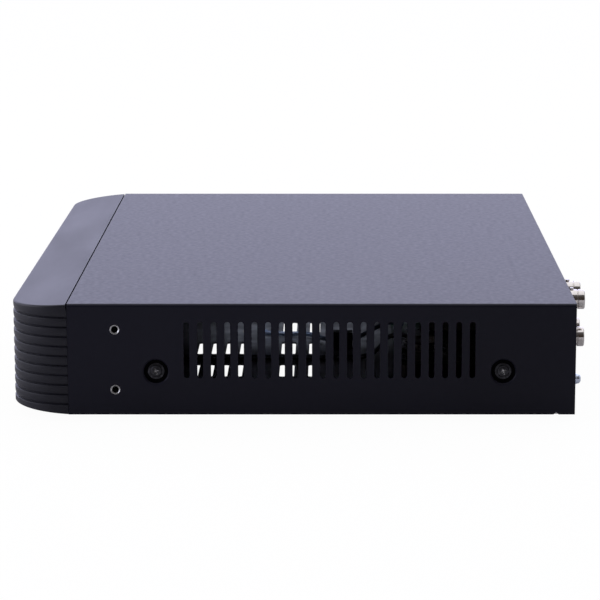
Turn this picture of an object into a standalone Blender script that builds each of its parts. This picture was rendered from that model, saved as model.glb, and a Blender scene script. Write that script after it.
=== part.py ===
"""A compact desktop video recorder: a bent steel cover over a vented base pan, a ribbed plastic
bezel across the front, four camera jacks and the usual sockets at the rear, and inside it the main
board, a hard drive and a small fan. Units are metres. +Z is up, the bezel faces -Y and +X is the
right side seen from the front. The origin is on the ground under the middle of the whole recorder.
"""

import math

import bmesh
import bpy
from mathutils import Matrix, Vector

MM = 0.001

# Driving dimensions of the case
WIDTH = 325 * MM
COVER_DEPTH = 231.5 * MM
BEZEL_DEPTH = 27.5 * MM
CASE_HEIGHT = 51.5 * MM
FOOT_HEIGHT = 3.5 * MM
JACK_REACH = 11.5 * MM
SHEET = 1.0 * MM
GAP = 0.3 * MM
OVERLAP = 0.2 * MM
TRIM = 0.1 * MM

TOTAL_DEPTH = BEZEL_DEPTH + COVER_DEPTH + JACK_REACH
COVER_FRONT_Y = BEZEL_DEPTH - TOTAL_DEPTH / 2
PARTS_NAME = "video_recorder"
CUTTERS_NAME = "video_recorder_cutters"

# Side vents, fixing screws and bracket holes, by distance behind the cover's front edge
SLOT_COUNT = 22
FIRST_SLOT = 54.2 * MM
SLOT_PITCH = 6.2 * MM
SLOT_WIDTH = 2.6 * MM
SLOT_BOTTOM = 17.0 * MM
SLOT_TOP = 43.2 * MM
SCREW_BACKS = (40.2 * MM, 198.5 * MM)
SCREW_UP = 20.1 * MM
DIMPLE_RADIUS = 5.65 * MM
DIMPLE_DEPTH = 2.2 * MM
DIMPLE_WALL = 0.9 * MM
SCREW_SHANK = 1.45 * MM
BRACKET_HOLE_BACK = 21.6 * MM
BRACKET_HOLE_UPS = (11.7 * MM, 39.7 * MM)
BRACKET_HOLE_RADIUS = 1.65 * MM

# Base pan
PAN_SIDE = SHEET + GAP
FLANGE_HEIGHT = 9.5 * MM
TAB_HALF_WIDTH = 7 * MM
TAB_TOP = 28 * MM
BOARD_BOSS = 3.2 * MM
DRIVE_BOSS = 5.0 * MM
TAB_SIDE = SHEET + DIMPLE_DEPTH + GAP
REAR_WALL = (COVER_DEPTH - 1.3 * MM, COVER_DEPTH - GAP)
FRONT_WALL = (GAP, GAP + SHEET)
WALL_TOP = CASE_HEIGHT - SHEET - GAP
VENT_ROW_STARTS = (72 * MM, 122 * MM, 173.5 * MM)
VENT_LENGTH = 28.4 * MM
VENT_CORNER = 1.2 * MM
NARROW_VENT = 3.0 * MM
NARROW_VENT_STARTS = (52.1 * MM, 59.25 * MM, 66.4 * MM, 73.55 * MM)
WIDE_VENTS = ((94.65 * MM, 101.9 * MM), (108.8 * MM, 114.2 * MM))
FOOT_INWARD = 26 * MM
FOOT_BACKS = (26 * MM, 206 * MM)
FOOT_RADIUS = 8.0 * MM
LEAD_HOLE = ((102 * MM, 118 * MM), (14 * MM, 24 * MM))
FRONT_HOLE = ((150 * MM, 170 * MM), (20 * MM, 34 * MM))
REAR_VENT_COUNT = 16
REAR_VENT_START = 118 * MM
REAR_VENT_PITCH = 9 * MM
REAR_VENT_WIDTH = 6.5 * MM
REAR_VENT_UPS = (42.6 * MM, 45.2 * MM)

# Bezel
WALL = 2.2 * MM
TOP_DROP = 2.1 * MM
BOTTOM_RISE = 1.6 * MM
SEAM_STEP = 0.25 * MM
GROOVE_COUNT = 10
LOWEST_GROOVE = 4.6 * MM
GROOVE_PITCH = 4.48 * MM
GROOVE_HALF = 0.6 * MM
GROOVE_DEPTH = 0.7 * MM
CORNER_STEPS = 8
WINDOW_INWARDS = (62 * MM, 102 * MM)
WINDOW_UPS = (20 * MM, 30 * MM)
USB_INWARD = 44 * MM
USB_UP = 25 * MM
BEZEL_FACE = -BEZEL_DEPTH
FRONT_BOARD_BACKS = (-7.6 * MM, -6.0 * MM)
FRONT_BOARD_INWARDS = (34 * MM, 130 * MM)
FRONT_BOARD_UPS = (12 * MM, 36 * MM)
GUIDE_INWARDS = (69 * MM, 76 * MM, 83 * MM)
RECEIVER_INWARD = 95.5 * MM

# Main board and drive
BOARD_UP = 7.5 * MM
BOARD_THICK = 1.6 * MM
BOARD_TOP = BOARD_UP + BOARD_THICK
BOARD_NEAR = 70 * MM
BOARD_FRONT = 151 * MM
BOARD_BACK = 228.5 * MM
BOARD_NOTCH = (210 * MM, 178 * MM)
BOARD_FAR = 288 * MM
BOARD_SCREW_PLACES = (
    (156 * MM, 75 * MM),
    (198 * MM, 75 * MM),
    (156 * MM, 204 * MM),
    (222 * MM, 282 * MM),
)
STAND_OFF = BOARD_TOP + GAP
PROCESSOR_BACKS = (176 * MM, 196 * MM)
PROCESSOR_INWARDS = (136 * MM, 156 * MM)
MEMORY_BACKS = (172 * MM, 188 * MM)
MEMORY_INWARDS = (172 * MM, 181 * MM)
SINK_BACKS = (170 * MM, 202 * MM)
SINK_INWARDS = (130 * MM, 162 * MM)
DRIVE_LENGTH = 147 * MM
DRIVE_WIDTH = 101.6 * MM
DRIVE_HEIGHT = 26.1 * MM
DRIVE_BACKS = (3.2 * MM, 3.2 * MM + DRIVE_LENGTH)
DRIVE_INWARDS = (217.2 * MM, 217.2 * MM + DRIVE_WIDTH)
DRIVE_UPS = (5.0 * MM, 5.0 * MM + DRIVE_HEIGHT)
PLATTER_RADIUS = 47.5 * MM
PLATTER_BACK = DRIVE_BACKS[0] + 53 * MM
PLATTER_INWARD = sum(DRIVE_INWARDS) / 2
ARM_BACK = PLATTER_BACK + 56 * MM
ARM_INWARD = PLATTER_INWARD + 27 * MM
ARM_REST_ANGLE = math.radians(15)
ARM_REACH = 52 * MM
ARM_POST_RADIUS = 2.5 * MM
DRIVE_HOLE_HALF = 47.6 * MM
DRIVE_HOLE_FRONTS = (41.3 * MM, 85.7 * MM)

# Fan, on the left side wall
FAN_SIZE = 40 * MM
FAN_THICK = 10 * MM
FAN_BACK = 171.2 * MM
FAN_UP = 23.5 * MM
FAN_FACE = TAB_SIDE + SHEET + GAP
FAN_BORE = 18.8 * MM
FAN_WALL_TOP = 46 * MM
BLADE_COUNT = 7
HUB_RADIUS = 9.5 * MM

# Camera jacks and the other rear sockets, by distance in from the right side
JACK_INWARDS = (78.8 * MM, 100.2 * MM)
JACK_UPS = (19.5 * MM, 38.0 * MM)
JACK_RADIUS = 4.83 * MM
AUDIO_INWARD = 124 * MM
AUDIO_UPS = (17 * MM, 31 * MM)
AUDIO_BARREL = 4.15 * MM
POWER_COLLAR = 4.2 * MM
HDMI_INWARD = 146 * MM
VGA_INWARD = 173 * MM
NETWORK_INWARD = 204 * MM
REAR_USB_INWARD = 225 * MM
POWER_INWARD = 246 * MM
ROCKER_INWARD = 281 * MM
ROCKER_UP = 33 * MM
ROCKER_HALF_ANGLE = math.radians(8)
USB_HALF_WIDTH = 6.7 * MM
USB_HALF_HEIGHT = 3.1 * MM
USB_MOUTH_DEPTH = 10.5 * MM
GROUND_INWARD = 8.0 * MM
GROUND_UP = 15.0 * MM
SOCKET_FACE = COVER_DEPTH + 0.6 * MM
HDMI_UP = BOARD_TOP + 3.2 * MM
VGA_UP = BOARD_TOP + 6.6 * MM
VGA_POST_OFFSET = 12.5 * MM
NETWORK_UP = BOARD_TOP + 7.2 * MM
REAR_USB_UP = BOARD_TOP + 8.3 * MM
POWER_UP = BOARD_TOP + 6.0 * MM


AXIS_TURNS = {
    "X": Matrix.Rotation(math.pi / 2, 4, "Y"),
    "Y": Matrix.Rotation(math.pi / 2, 4, "X"),
    "Z": Matrix(),
}
AXIS_WAYS = {
    "+X": Vector((1, 0, 0)),
    "-X": Vector((-1, 0, 0)),
    "+Y": Vector((0, 1, 0)),
    "+Z": Vector((0, 0, 1)),
}
CROSS_THICK = 2.4 * MM


# ---------------------------------------------------------------- scene and materials


def clear_scene():
    for obj in list(bpy.data.objects):
        bpy.data.objects.remove(obj, do_unlink=True)


def new_collection(name):
    collection = bpy.data.collections.new(name)
    bpy.context.scene.collection.children.link(collection)
    return collection


def material(name, colour, roughness, metallic=0.0, alpha=1.0):
    """The named Principled material, made the first time it is asked for."""
    found = bpy.data.materials.get(name)
    if found:
        return found
    made = bpy.data.materials.new(name)
    made.use_nodes = True
    shader = made.node_tree.nodes["Principled BSDF"]
    shader.inputs["Base Color"].default_value = (*colour, 1.0)
    shader.inputs["Roughness"].default_value = roughness
    shader.inputs["Metallic"].default_value = metallic
    shader.inputs["Alpha"].default_value = alpha
    return made


def black_paint():
    return material("black_paint", (0.012, 0.012, 0.016), 0.45, 0.1)


def galvanised():
    return material("galvanised_steel", (0.46, 0.47, 0.49), 0.38, 1.0)


def black_plastic():
    return material("black_plastic", (0.016, 0.016, 0.02), 0.5)


def smoked_window():
    return material("smoked_window", (0.01, 0.01, 0.012), 0.08, 0.0, 0.6)


def clear_plastic():
    return material("clear_plastic", (0.7, 0.75, 0.8), 0.15, 0.0, 0.5)


def nickel():
    return material("nickel_plate", (0.78, 0.74, 0.68), 0.18, 1.0)


def zinc():
    return material("zinc_plate", (0.62, 0.68, 0.78), 0.25, 1.0)


def rubber():
    return material("black_rubber", (0.02, 0.02, 0.02), 0.8)


def board_green():
    return material("board_laminate", (0.01, 0.07, 0.03), 0.4)


def chip_epoxy():
    return material("chip_epoxy", (0.02, 0.02, 0.022), 0.55)


def bare_aluminium():
    return material("bare_aluminium", (0.72, 0.73, 0.75), 0.32, 1.0)


def cast_aluminium():
    return material("cast_aluminium", (0.5, 0.51, 0.53), 0.5, 1.0)


def mirror_disk():
    return material("mirror_disk", (0.85, 0.86, 0.88), 0.05, 1.0)


def socket_plastic():
    return material("socket_plastic", (0.02, 0.05, 0.3), 0.4)


def lead_sheath():
    return material("lead_sheath", (0.03, 0.03, 0.035), 0.55)


# ---------------------------------------------------------------- places and shapes


def at(back, inward, up):
    """A point by its distance behind the cover's front edge, in from the right side and up from the bottom."""
    return Vector((WIDTH / 2 - inward, COVER_FRONT_Y + back, FOOT_HEIGHT + up))


def add_mesh(name, shape, finish=None, helper=False):
    """A new object for a bmesh, in the parts or, for a helper, hidden with the cutters."""
    bmesh.ops.recalc_face_normals(shape, faces=shape.faces)
    mesh = bpy.data.meshes.new(name)
    shape.to_mesh(mesh)
    shape.free()
    obj = bpy.data.objects.new(name, mesh)
    if helper:
        hide_helper(obj)
    else:
        parts.objects.link(obj)
        obj.data.materials.append(finish)
    return obj


def hide_helper(obj):
    cutters.objects.link(obj)
    obj.hide_render = True
    obj.display_type = "WIRE"


def box(name, backs, inwards, ups, finish=None, helper=False):
    """A box between two distances back, two distances inward and two heights."""
    low = at(backs[0], inwards[1], ups[0])
    high = at(backs[1], inwards[0], ups[1])
    shape = bmesh.new()
    bmesh.ops.create_cube(shape, size=1.0)
    bmesh.ops.scale(shape, vec=high - low, verts=shape.verts)
    bmesh.ops.translate(shape, vec=(low + high) / 2, verts=shape.verts)
    return add_mesh(name, shape, finish, helper)


def cylinder(name, centre, axis, radius, length, finish=None, helper=False, segments=24):
    """A cylinder about an axis, X, Y or Z, with its middle at the centre."""
    shape = bmesh.new()
    bmesh.ops.create_cone(
        shape, cap_ends=True, segments=segments, radius1=radius, radius2=radius, depth=length,
        matrix=Matrix.Translation(centre) @ AXIS_TURNS[axis],
    )
    obj = add_mesh(name, shape, finish, helper)
    smooth(obj)
    return obj


def tool_box(name, backs, inwards, ups):
    """A box that only cuts or joins."""
    return box(name, backs, inwards, ups, helper=True)


def tool_round(name, centre, axis, radius, length, segments=24):
    """A cylinder that only cuts or joins."""
    return cylinder(name, centre, axis, radius, length, helper=True, segments=segments)


def around(middle, half):
    return (middle - half, middle + half)


def smooth(obj):
    obj.data.shade_smooth()
    obj.data.set_sharp_from_angle(angle=math.radians(35))


def combine(obj, other, operation):
    """Cuts or joins another object with a Boolean, and keeps that other object as a hidden helper."""
    if other.name not in cutters.objects:
        parts.objects.unlink(other)
        hide_helper(other)
    modifier = obj.modifiers.new(f"{operation.lower()} {other.name}", "BOOLEAN")
    modifier.operation = operation
    modifier.object = other
    modifier.solver = "EXACT"


def cut(obj, *others):
    for other in others:
        combine(obj, other, "DIFFERENCE")
    return obj


def join(obj, *others):
    for other in others:
        combine(obj, other, "UNION")
    return obj


def prism(name, loops, thickness, matrix, finish=None, helper=False):
    """Flat outlines, each inner loop a hole, thickened about their plane and placed by a matrix."""
    curve = bpy.data.curves.new(name + "_outline", "CURVE")
    curve.dimensions = "2D"
    curve.fill_mode = "BOTH"
    curve.extrude = thickness / 2
    for loop in loops:
        spline = curve.splines.new("POLY")
        spline.points.add(len(loop) - 1)
        for point, (x, y) in zip(spline.points, loop):
            point.co = (x, y, 0, 1)
        spline.use_cyclic_u = True
    outline = bpy.data.objects.new(name + "_outline", curve)
    cutters.objects.link(outline)
    bpy.context.view_layer.update()
    graph = bpy.context.evaluated_depsgraph_get()
    solid = bpy.data.meshes.new_from_object(outline.evaluated_get(graph))
    shape = bmesh.new()
    shape.from_mesh(solid)
    bmesh.ops.remove_doubles(shape, verts=shape.verts, dist=1e-6)
    bmesh.ops.transform(shape, matrix=matrix, verts=shape.verts)
    bpy.data.objects.remove(outline, do_unlink=True)
    bpy.data.curves.remove(curve)
    bpy.data.meshes.remove(solid)
    return add_mesh(name, shape, finish, helper)


def flat_at(up):
    """Outlines given as (back, inward) lie level at this height."""
    corner = at(0, 0, up)
    return Matrix.Translation(corner) @ Matrix(((0, -1, 0, 0), (1, 0, 0, 0), (0, 0, 1, 0), (0, 0, 0, 1)))


def facing_rear(back):
    """Outlines given as (inward, up) stand upright across the case at this distance back."""
    corner = at(back, 0, 0)
    return Matrix.Translation(corner) @ Matrix(((-1, 0, 0, 0), (0, 0, 1, 0), (0, 1, 0, 0), (0, 0, 0, 1)))


def facing_side(inward):
    """Outlines given as (back, up) stand upright along the case at this distance in."""
    corner = at(0, inward, 0)
    return Matrix.Translation(corner) @ Matrix(((0, 0, 1, 0), (1, 0, 0, 0), (0, 1, 0, 0), (0, 0, 0, 1)))


def rectangle(first, second):
    return [(first[0], second[0]), (first[1], second[0]), (first[1], second[1]), (first[0], second[1])]


def centred(middle, half_first, half_second):
    return rectangle(
        (middle[0] - half_first, middle[0] + half_first), (middle[1] - half_second, middle[1] + half_second)
    )


def circle(middle, radius, steps=20):
    angles = [2 * math.pi * i / steps for i in range(steps)]
    return [(middle[0] + radius * math.cos(a), middle[1] + radius * math.sin(a)) for a in angles]


def stadium(first, second, steps=4):
    """A slot with round ends, along the second coordinate."""
    radius = (first[1] - first[0]) / 2
    middle = (first[0] + first[1]) / 2
    ends = ((second[1] - radius, 0.0), (second[0] + radius, math.pi))
    return [
        (middle + radius * math.cos(angle), end + radius * math.sin(angle))
        for end, start in ends
        for angle in [start + math.pi * i / steps for i in range(steps + 1)]
    ]


def turned(name, profile, centre, axis, finish, segments=24):
    """A turned solid from (radius, height) points that run from its top down. Its top points along the axis."""
    turn = {
        "+X": Matrix.Rotation(math.pi / 2, 4, "Y"),
        "-X": Matrix.Rotation(-math.pi / 2, 4, "Y"),
        "+Y": Matrix.Rotation(-math.pi / 2, 4, "X"),
        "-Y": Matrix.Rotation(math.pi / 2, 4, "X"),
        "+Z": Matrix(),
    }
    mesh = bpy.data.meshes.new(name)
    mesh.from_pydata([(r, 0, z) for r, z in profile], [(i, i + 1) for i in range(len(profile) - 1)], [])
    obj = bpy.data.objects.new(name, mesh)
    parts.objects.link(obj)
    obj.data.materials.append(finish)
    obj.matrix_world = Matrix.Translation(centre) @ turn[axis]
    screw = obj.modifiers.new("turn", "SCREW")
    screw.axis = "Z"
    screw.steps = segments
    screw.render_steps = segments
    screw.use_merge_vertices = True
    screw.merge_threshold = 1e-6
    screw.use_smooth_shade = True
    return obj


def tube(name, points, radius, finish, resolution=2):
    """A round lead along a smooth curve through the points."""
    curve = bpy.data.curves.new(name, "CURVE")
    curve.dimensions = "3D"
    curve.bevel_depth = radius
    curve.bevel_resolution = resolution
    curve.use_fill_caps = True
    route = smooth_route([at(*point) for point in points], steps=2)
    spline = curve.splines.new("POLY")
    spline.points.add(len(route) - 1)
    for point, place in zip(spline.points, route):
        point.co = (*place, 1)
    obj = bpy.data.objects.new(name, curve)
    parts.objects.link(obj)
    curve.materials.append(finish)
    return obj


def smooth_route(points, steps=5):
    """Points read from a Catmull-Rom curve through the given ones."""
    ends = [2 * points[0] - points[1], *points, 2 * points[-1] - points[-2]]
    route = []
    for a, b, c, d in zip(ends, ends[1:], ends[2:], ends[3:]):
        for i in range(steps):
            t = i / steps
            bend = (2 * a - 5 * b + 4 * c - d) * t**2
            twist = (3 * b - a - 3 * c + d) * t**3
            route.append(0.5 * (2 * b + (c - a) * t + bend + twist))
    return [*route, points[-1]]


def ribbon(name, profile, thickness, inward, width, finish):
    """A flat lead whose side view follows (back, up) points and which is as wide as said."""
    route = [point.to_2d() for point in smooth_route([Vector((b, u, 0)) for b, u in profile], steps=4)]
    left, right = [], []
    for i, point in enumerate(route):
        along = (route[min(i + 1, len(route) - 1)] - route[max(i - 1, 0)]).normalized()
        aside = Vector((-along.y, along.x)) * thickness / 2
        left.append(tuple(point + aside))
        right.append(tuple(point - aside))
    obj = prism(name, [left + right[::-1]], width, facing_side(inward), finish)
    return obj


# ---------------------------------------------------------------- case


def top_cover():
    """The bent steel cover: top and two sides, with vents, bracket holes and dimples for the screws."""
    shape = bmesh.new()
    bmesh.ops.create_cube(shape, size=1.0)
    bmesh.ops.scale(shape, vec=(WIDTH, COVER_DEPTH, CASE_HEIGHT), verts=shape.verts)
    bmesh.ops.translate(shape, vec=at(COVER_DEPTH / 2, WIDTH / 2, CASE_HEIGHT / 2), verts=shape.verts)
    open_faces = [f for f in shape.faces if abs(f.normal.y) > 0.5 or f.normal.z < -0.5]
    bmesh.ops.delete(shape, geom=open_faces, context="FACES_ONLY")
    folds = [e for e in shape.edges if len(e.link_faces) == 2]
    bmesh.ops.bevel(shape, geom=folds, offset=1.4 * MM, segments=3, affect="EDGES", profile=0.5)
    cover = add_mesh("top_cover", shape, black_paint())
    solidify = cover.modifiers.new("sheet", "SOLIDIFY")
    solidify.thickness = SHEET
    solidify.offset = -1
    solidify.use_even_offset = True
    for side, inner in (("right", SHEET), ("left", WIDTH - SHEET)):
        inward = inner + math.copysign(DIMPLE_DEPTH / 2 - OVERLAP, WIDTH / 2 - inner)
        for i, back in enumerate(SCREW_BACKS):
            place = at(back, inward, SCREW_UP)
            radius = DIMPLE_RADIUS + DIMPLE_WALL
            join(cover, tool_round(f"helper_dimple_{side}_{i}", place, "X", radius, DIMPLE_DEPTH))
    cut(cover, side_openings(), *dimples())
    smooth(cover)
    return cover


def side_openings():
    """Vents and bracket holes of both sides, as prisms that run right across the case."""
    loops = []
    for i in range(SLOT_COUNT):
        middle = FIRST_SLOT + i * SLOT_PITCH
        loops.append(stadium((middle - SLOT_WIDTH / 2, middle + SLOT_WIDTH / 2), (SLOT_BOTTOM, SLOT_TOP)))
    loops += [circle((BRACKET_HOLE_BACK, up), BRACKET_HOLE_RADIUS, 12) for up in BRACKET_HOLE_UPS]
    loops += [circle((back, SCREW_UP), SCREW_SHANK + GAP, 16) for back in SCREW_BACKS]
    return prism("cutter_side_openings", loops, WIDTH * 1.1, facing_side(WIDTH / 2), helper=True)


def dimples():
    """The round recesses that the side screws' heads sit in."""
    found = []
    for side, inward in (("right", 0), ("left", WIDTH)):
        for i, back in enumerate(SCREW_BACKS):
            place = at(back, inward, SCREW_UP)
            found.append(tool_round(f"cutter_dimple_{side}_{i}", place, "X", DIMPLE_RADIUS, 2 * DIMPLE_DEPTH))
    return found


def floor_vents():
    """The long vents of the floor, narrow and wide ones in three rows, as (back, inward) outlines."""
    spans = [(start, start + NARROW_VENT) for start in NARROW_VENT_STARTS] + list(WIDE_VENTS)
    return [
        rounded_rectangle(span, (row, row + VENT_LENGTH), VENT_CORNER)
        for row in VENT_ROW_STARTS
        for span in spans
    ]


def rounded_rectangle(first, second, radius, steps=2):
    corners = (
        (first[1] - radius, second[1] - radius, 0.0),
        (first[0] + radius, second[1] - radius, 0.5 * math.pi),
        (first[0] + radius, second[0] + radius, math.pi),
        (first[1] - radius, second[0] + radius, 1.5 * math.pi),
    )
    return [
        (x + radius * math.cos(angle), y + radius * math.sin(angle))
        for x, y, start in corners
        for angle in [start + 0.5 * math.pi * i / steps for i in range(steps + 1)]
    ]


def rear_cutouts():
    """Openings of the rear wall, one for each socket, as (inward, up) outlines."""
    loops = [circle((inward, up), JACK_RADIUS + 0.5 * MM) for inward in JACK_INWARDS for up in JACK_UPS]
    loops += [circle((AUDIO_INWARD, up), AUDIO_BARREL + 0.55 * MM) for up in AUDIO_UPS]
    loops.append(centred((HDMI_INWARD, HDMI_UP), 8.0 * MM, 3.3 * MM))
    loops.append(centred((VGA_INWARD, VGA_UP), 9.1 * MM, 4.9 * MM))
    posts = (VGA_INWARD - VGA_POST_OFFSET, VGA_INWARD + VGA_POST_OFFSET)
    loops += [circle((inward, VGA_UP), 2.9 * MM, 12) for inward in posts]
    loops.append(centred((NETWORK_INWARD, NETWORK_UP), 8.6 * MM, 7.2 * MM))
    loops.append(centred((REAR_USB_INWARD, REAR_USB_UP), 7.2 * MM, 8.3 * MM))
    loops.append(circle((POWER_INWARD, POWER_UP), POWER_COLLAR + 0.5 * MM))
    loops.append(centred((ROCKER_INWARD, ROCKER_UP), 9.9 * MM, 6.9 * MM))
    loops.append(circle((GROUND_INWARD, GROUND_UP), SCREW_SHANK + GAP, 16))
    for i in range(REAR_VENT_COUNT):
        start = REAR_VENT_START + i * REAR_VENT_PITCH
        loops.append(rounded_rectangle((start, start + REAR_VENT_WIDTH), REAR_VENT_UPS, 0.9 * MM, steps=1))
    return loops


def base_chassis():
    """The base pan: a vented floor, folded walls, screw tabs, a fan wall and bosses for board and drive."""
    inwards = (PAN_SIDE + OVERLAP, WIDTH - PAN_SIDE - OVERLAP)
    backs = (FRONT_WALL[0] + TRIM, REAR_WALL[1] - TRIM)
    floor_inwards = (PAN_SIDE + TRIM, WIDTH - PAN_SIDE - TRIM)
    floor = prism(
        "base_chassis", [rectangle(backs, floor_inwards), *floor_vents()], SHEET,
        flat_at(SHEET / 2), galvanised(),
    )
    rear = prism(
        "helper_rear_wall", [rectangle(inwards, (OVERLAP, WALL_TOP)), *rear_cutouts()],
        REAR_WALL[1] - REAR_WALL[0], facing_rear(sum(REAR_WALL) / 2), helper=True,
    )
    front = prism(
        "helper_front_wall",
        [rectangle(inwards, (OVERLAP, WALL_TOP)), rectangle(*LEAD_HOLE), rectangle(*FRONT_HOLE)],
        SHEET, facing_rear(sum(FRONT_WALL) / 2), helper=True,
    )
    join(floor, rear, front)
    for side, edge, sign in (("right", 0, 1), ("left", WIDTH, -1)):
        join(floor, *side_flange(side, edge, sign))
    fan_wall = prism(
        "helper_fan_wall",
        [
            rectangle((FAN_BACK - FAN_SIZE / 2, FAN_BACK + FAN_SIZE / 2 - GAP), (OVERLAP, FAN_WALL_TOP)),
            circle((FAN_BACK, FAN_UP), FAN_BORE, 24),
        ],
        SHEET, facing_side(WIDTH - TAB_SIDE - SHEET / 2), helper=True,
    )
    join(floor, fan_wall)
    for i, (back, inward) in enumerate(BOARD_SCREW_PLACES):
        join(floor, boss(f"helper_board_boss_{i}", back, inward, BOARD_BOSS, BOARD_UP - GAP))
    for i, (back, inward) in enumerate(drive_screw_places()):
        join(floor, boss(f"helper_drive_boss_{i}", back, inward, DRIVE_BOSS, DRIVE_UPS[0] - GAP))
    holes = [*BOARD_SCREW_PLACES, *drive_screw_places()]
    for i, (back, inward) in enumerate(holes):
        middle = at(back, inward, BOARD_UP / 2 + SHEET)
        cut(floor, tool_round(f"cutter_boss_{i}", middle, "Z", SCREW_SHANK + GAP, 2 * BOARD_UP, segments=12))
    return floor


def boss(name, back, inward, radius, top):
    """A round boss pressed up out of the floor."""
    bottom = SHEET - OVERLAP
    middle = at(back, inward, (bottom + top) / 2)
    return tool_round(name, middle, "Z", radius, top - bottom, segments=12)


def side_flange(side, edge, sign):
    """A low side wall, with a stepped tab at each side screw."""

    def inwards(near, far):
        return tuple(sorted((edge + sign * near, edge + sign * far)))

    backs = (FRONT_WALL[0] + OVERLAP, REAR_WALL[1] - OVERLAP)
    sheet_inwards = inwards(PAN_SIDE, PAN_SIDE + SHEET)
    yield tool_box(f"helper_flange_{side}", backs, sheet_inwards, (OVERLAP, FLANGE_HEIGHT))
    for i, back in enumerate(SCREW_BACKS):
        step_span = around(back, TAB_HALF_WIDTH - TRIM)
        step_inwards = inwards(PAN_SIDE + OVERLAP, TAB_SIDE + SHEET - TRIM)
        step_ups = (FLANGE_HEIGHT - SHEET - OVERLAP, FLANGE_HEIGHT - OVERLAP)
        yield tool_box(f"helper_step_{side}_{i}", step_span, step_inwards, step_ups)
        outline = rectangle(around(back, TAB_HALF_WIDTH), (FLANGE_HEIGHT - SHEET, TAB_TOP))
        hole = circle((back, SCREW_UP), SCREW_SHANK + GAP, 16)
        middle = facing_side(edge + sign * (TAB_SIDE + SHEET / 2))
        yield prism(f"helper_tab_{side}_{i}", [outline, hole], SHEET, middle, helper=True)


def drive_screw_places():
    """The four bottom fixing holes of a full-size drive."""
    backs = [DRIVE_BACKS[1] - distance for distance in DRIVE_HOLE_FRONTS]
    return [(back, inward) for back in backs for inward in around(PLATTER_INWARD, DRIVE_HOLE_HALF)]


def bezel_outline(inset, depth, rear):
    """Plan of the bezel as (back, inward): straight front and ends that are full quarter circles."""
    radius = depth
    loop = [(rear, WIDTH - inset), (rear, inset)]
    for edge, sign in ((inset, 1), (WIDTH - inset, -1)):
        steps = range(CORNER_STEPS + 1)
        angles = [0.5 * math.pi * i / CORNER_STEPS for i in (steps if sign > 0 else reversed(steps))]
        corner = [(-radius * math.sin(a), edge + sign * radius * (1 - math.cos(a))) for a in angles]
        loop += [point for point in corner if point[0] < rear - GAP]
    return loop


def lean(shape, bottom, top, depth):
    """Leans a level block's top face down and its bottom face up towards the front."""
    for vert in shape.vertices:
        share = max(0.0, (COVER_FRONT_Y - vert.co.y) / depth)
        up = vert.co.z - FOOT_HEIGHT
        if up > top - TRIM:
            vert.co.z -= TOP_DROP * share
        elif up < bottom + TRIM:
            vert.co.z += BOTTOM_RISE * share


def ribbed_block(name, bottom, top, finish):
    """A solid block on the bezel's plan, drawn in at each groove, as a stack of rings joined by faces."""
    levels = [(bottom, 0.0)]
    for i in range(GROOVE_COUNT):
        up = LOWEST_GROOVE + i * GROOVE_PITCH
        levels += [(up - GROOVE_HALF, 0.0), (up, GROOVE_DEPTH), (up + GROOVE_HALF, 0.0)]
    levels.append((top, 0.0))
    shape = bmesh.new()
    rings = []
    for up, inset in levels:
        outline = bezel_outline(inset, BEZEL_DEPTH - inset, -GAP)
        rings.append([shape.verts.new(at(back, inward, up)) for back, inward in outline])
    for lower, upper in zip(rings, rings[1:]):
        for i in range(len(lower)):
            shape.faces.new((lower[i - 1], lower[i], upper[i], upper[i - 1]))
    shape.faces.new(rings[0])
    shape.faces.new(rings[-1])
    block = add_mesh(name, shape, finish)
    lean(block.data, bottom, top, BEZEL_DEPTH)
    return block


def front_bezel():
    """The plastic bezel: a cup with a leaning top and bottom, grooved all round its face and ends."""
    bezel = ribbed_block("front_bezel", SEAM_STEP, CASE_HEIGHT - SEAM_STEP, black_plastic())
    hollow = prism(
        "cutter_bezel_hollow", [bezel_outline(WALL, BEZEL_DEPTH - WALL, 5 * MM)], CASE_HEIGHT - 2 * WALL,
        flat_at(CASE_HEIGHT / 2), helper=True,
    )
    lean(hollow.data, WALL, CASE_HEIGHT - WALL, BEZEL_DEPTH)
    through = (2 * BEZEL_FACE, BEZEL_FACE / 2)
    window = tool_box("cutter_window", through, WINDOW_INWARDS, WINDOW_UPS)
    socket = tool_box(
        "cutter_front_usb", through,
        around(USB_INWARD, USB_HALF_WIDTH + 0.4 * MM), around(USB_UP, USB_HALF_HEIGHT + GAP),
    )
    cut(bezel, hollow, window, socket)
    smooth(bezel)
    return bezel


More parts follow.
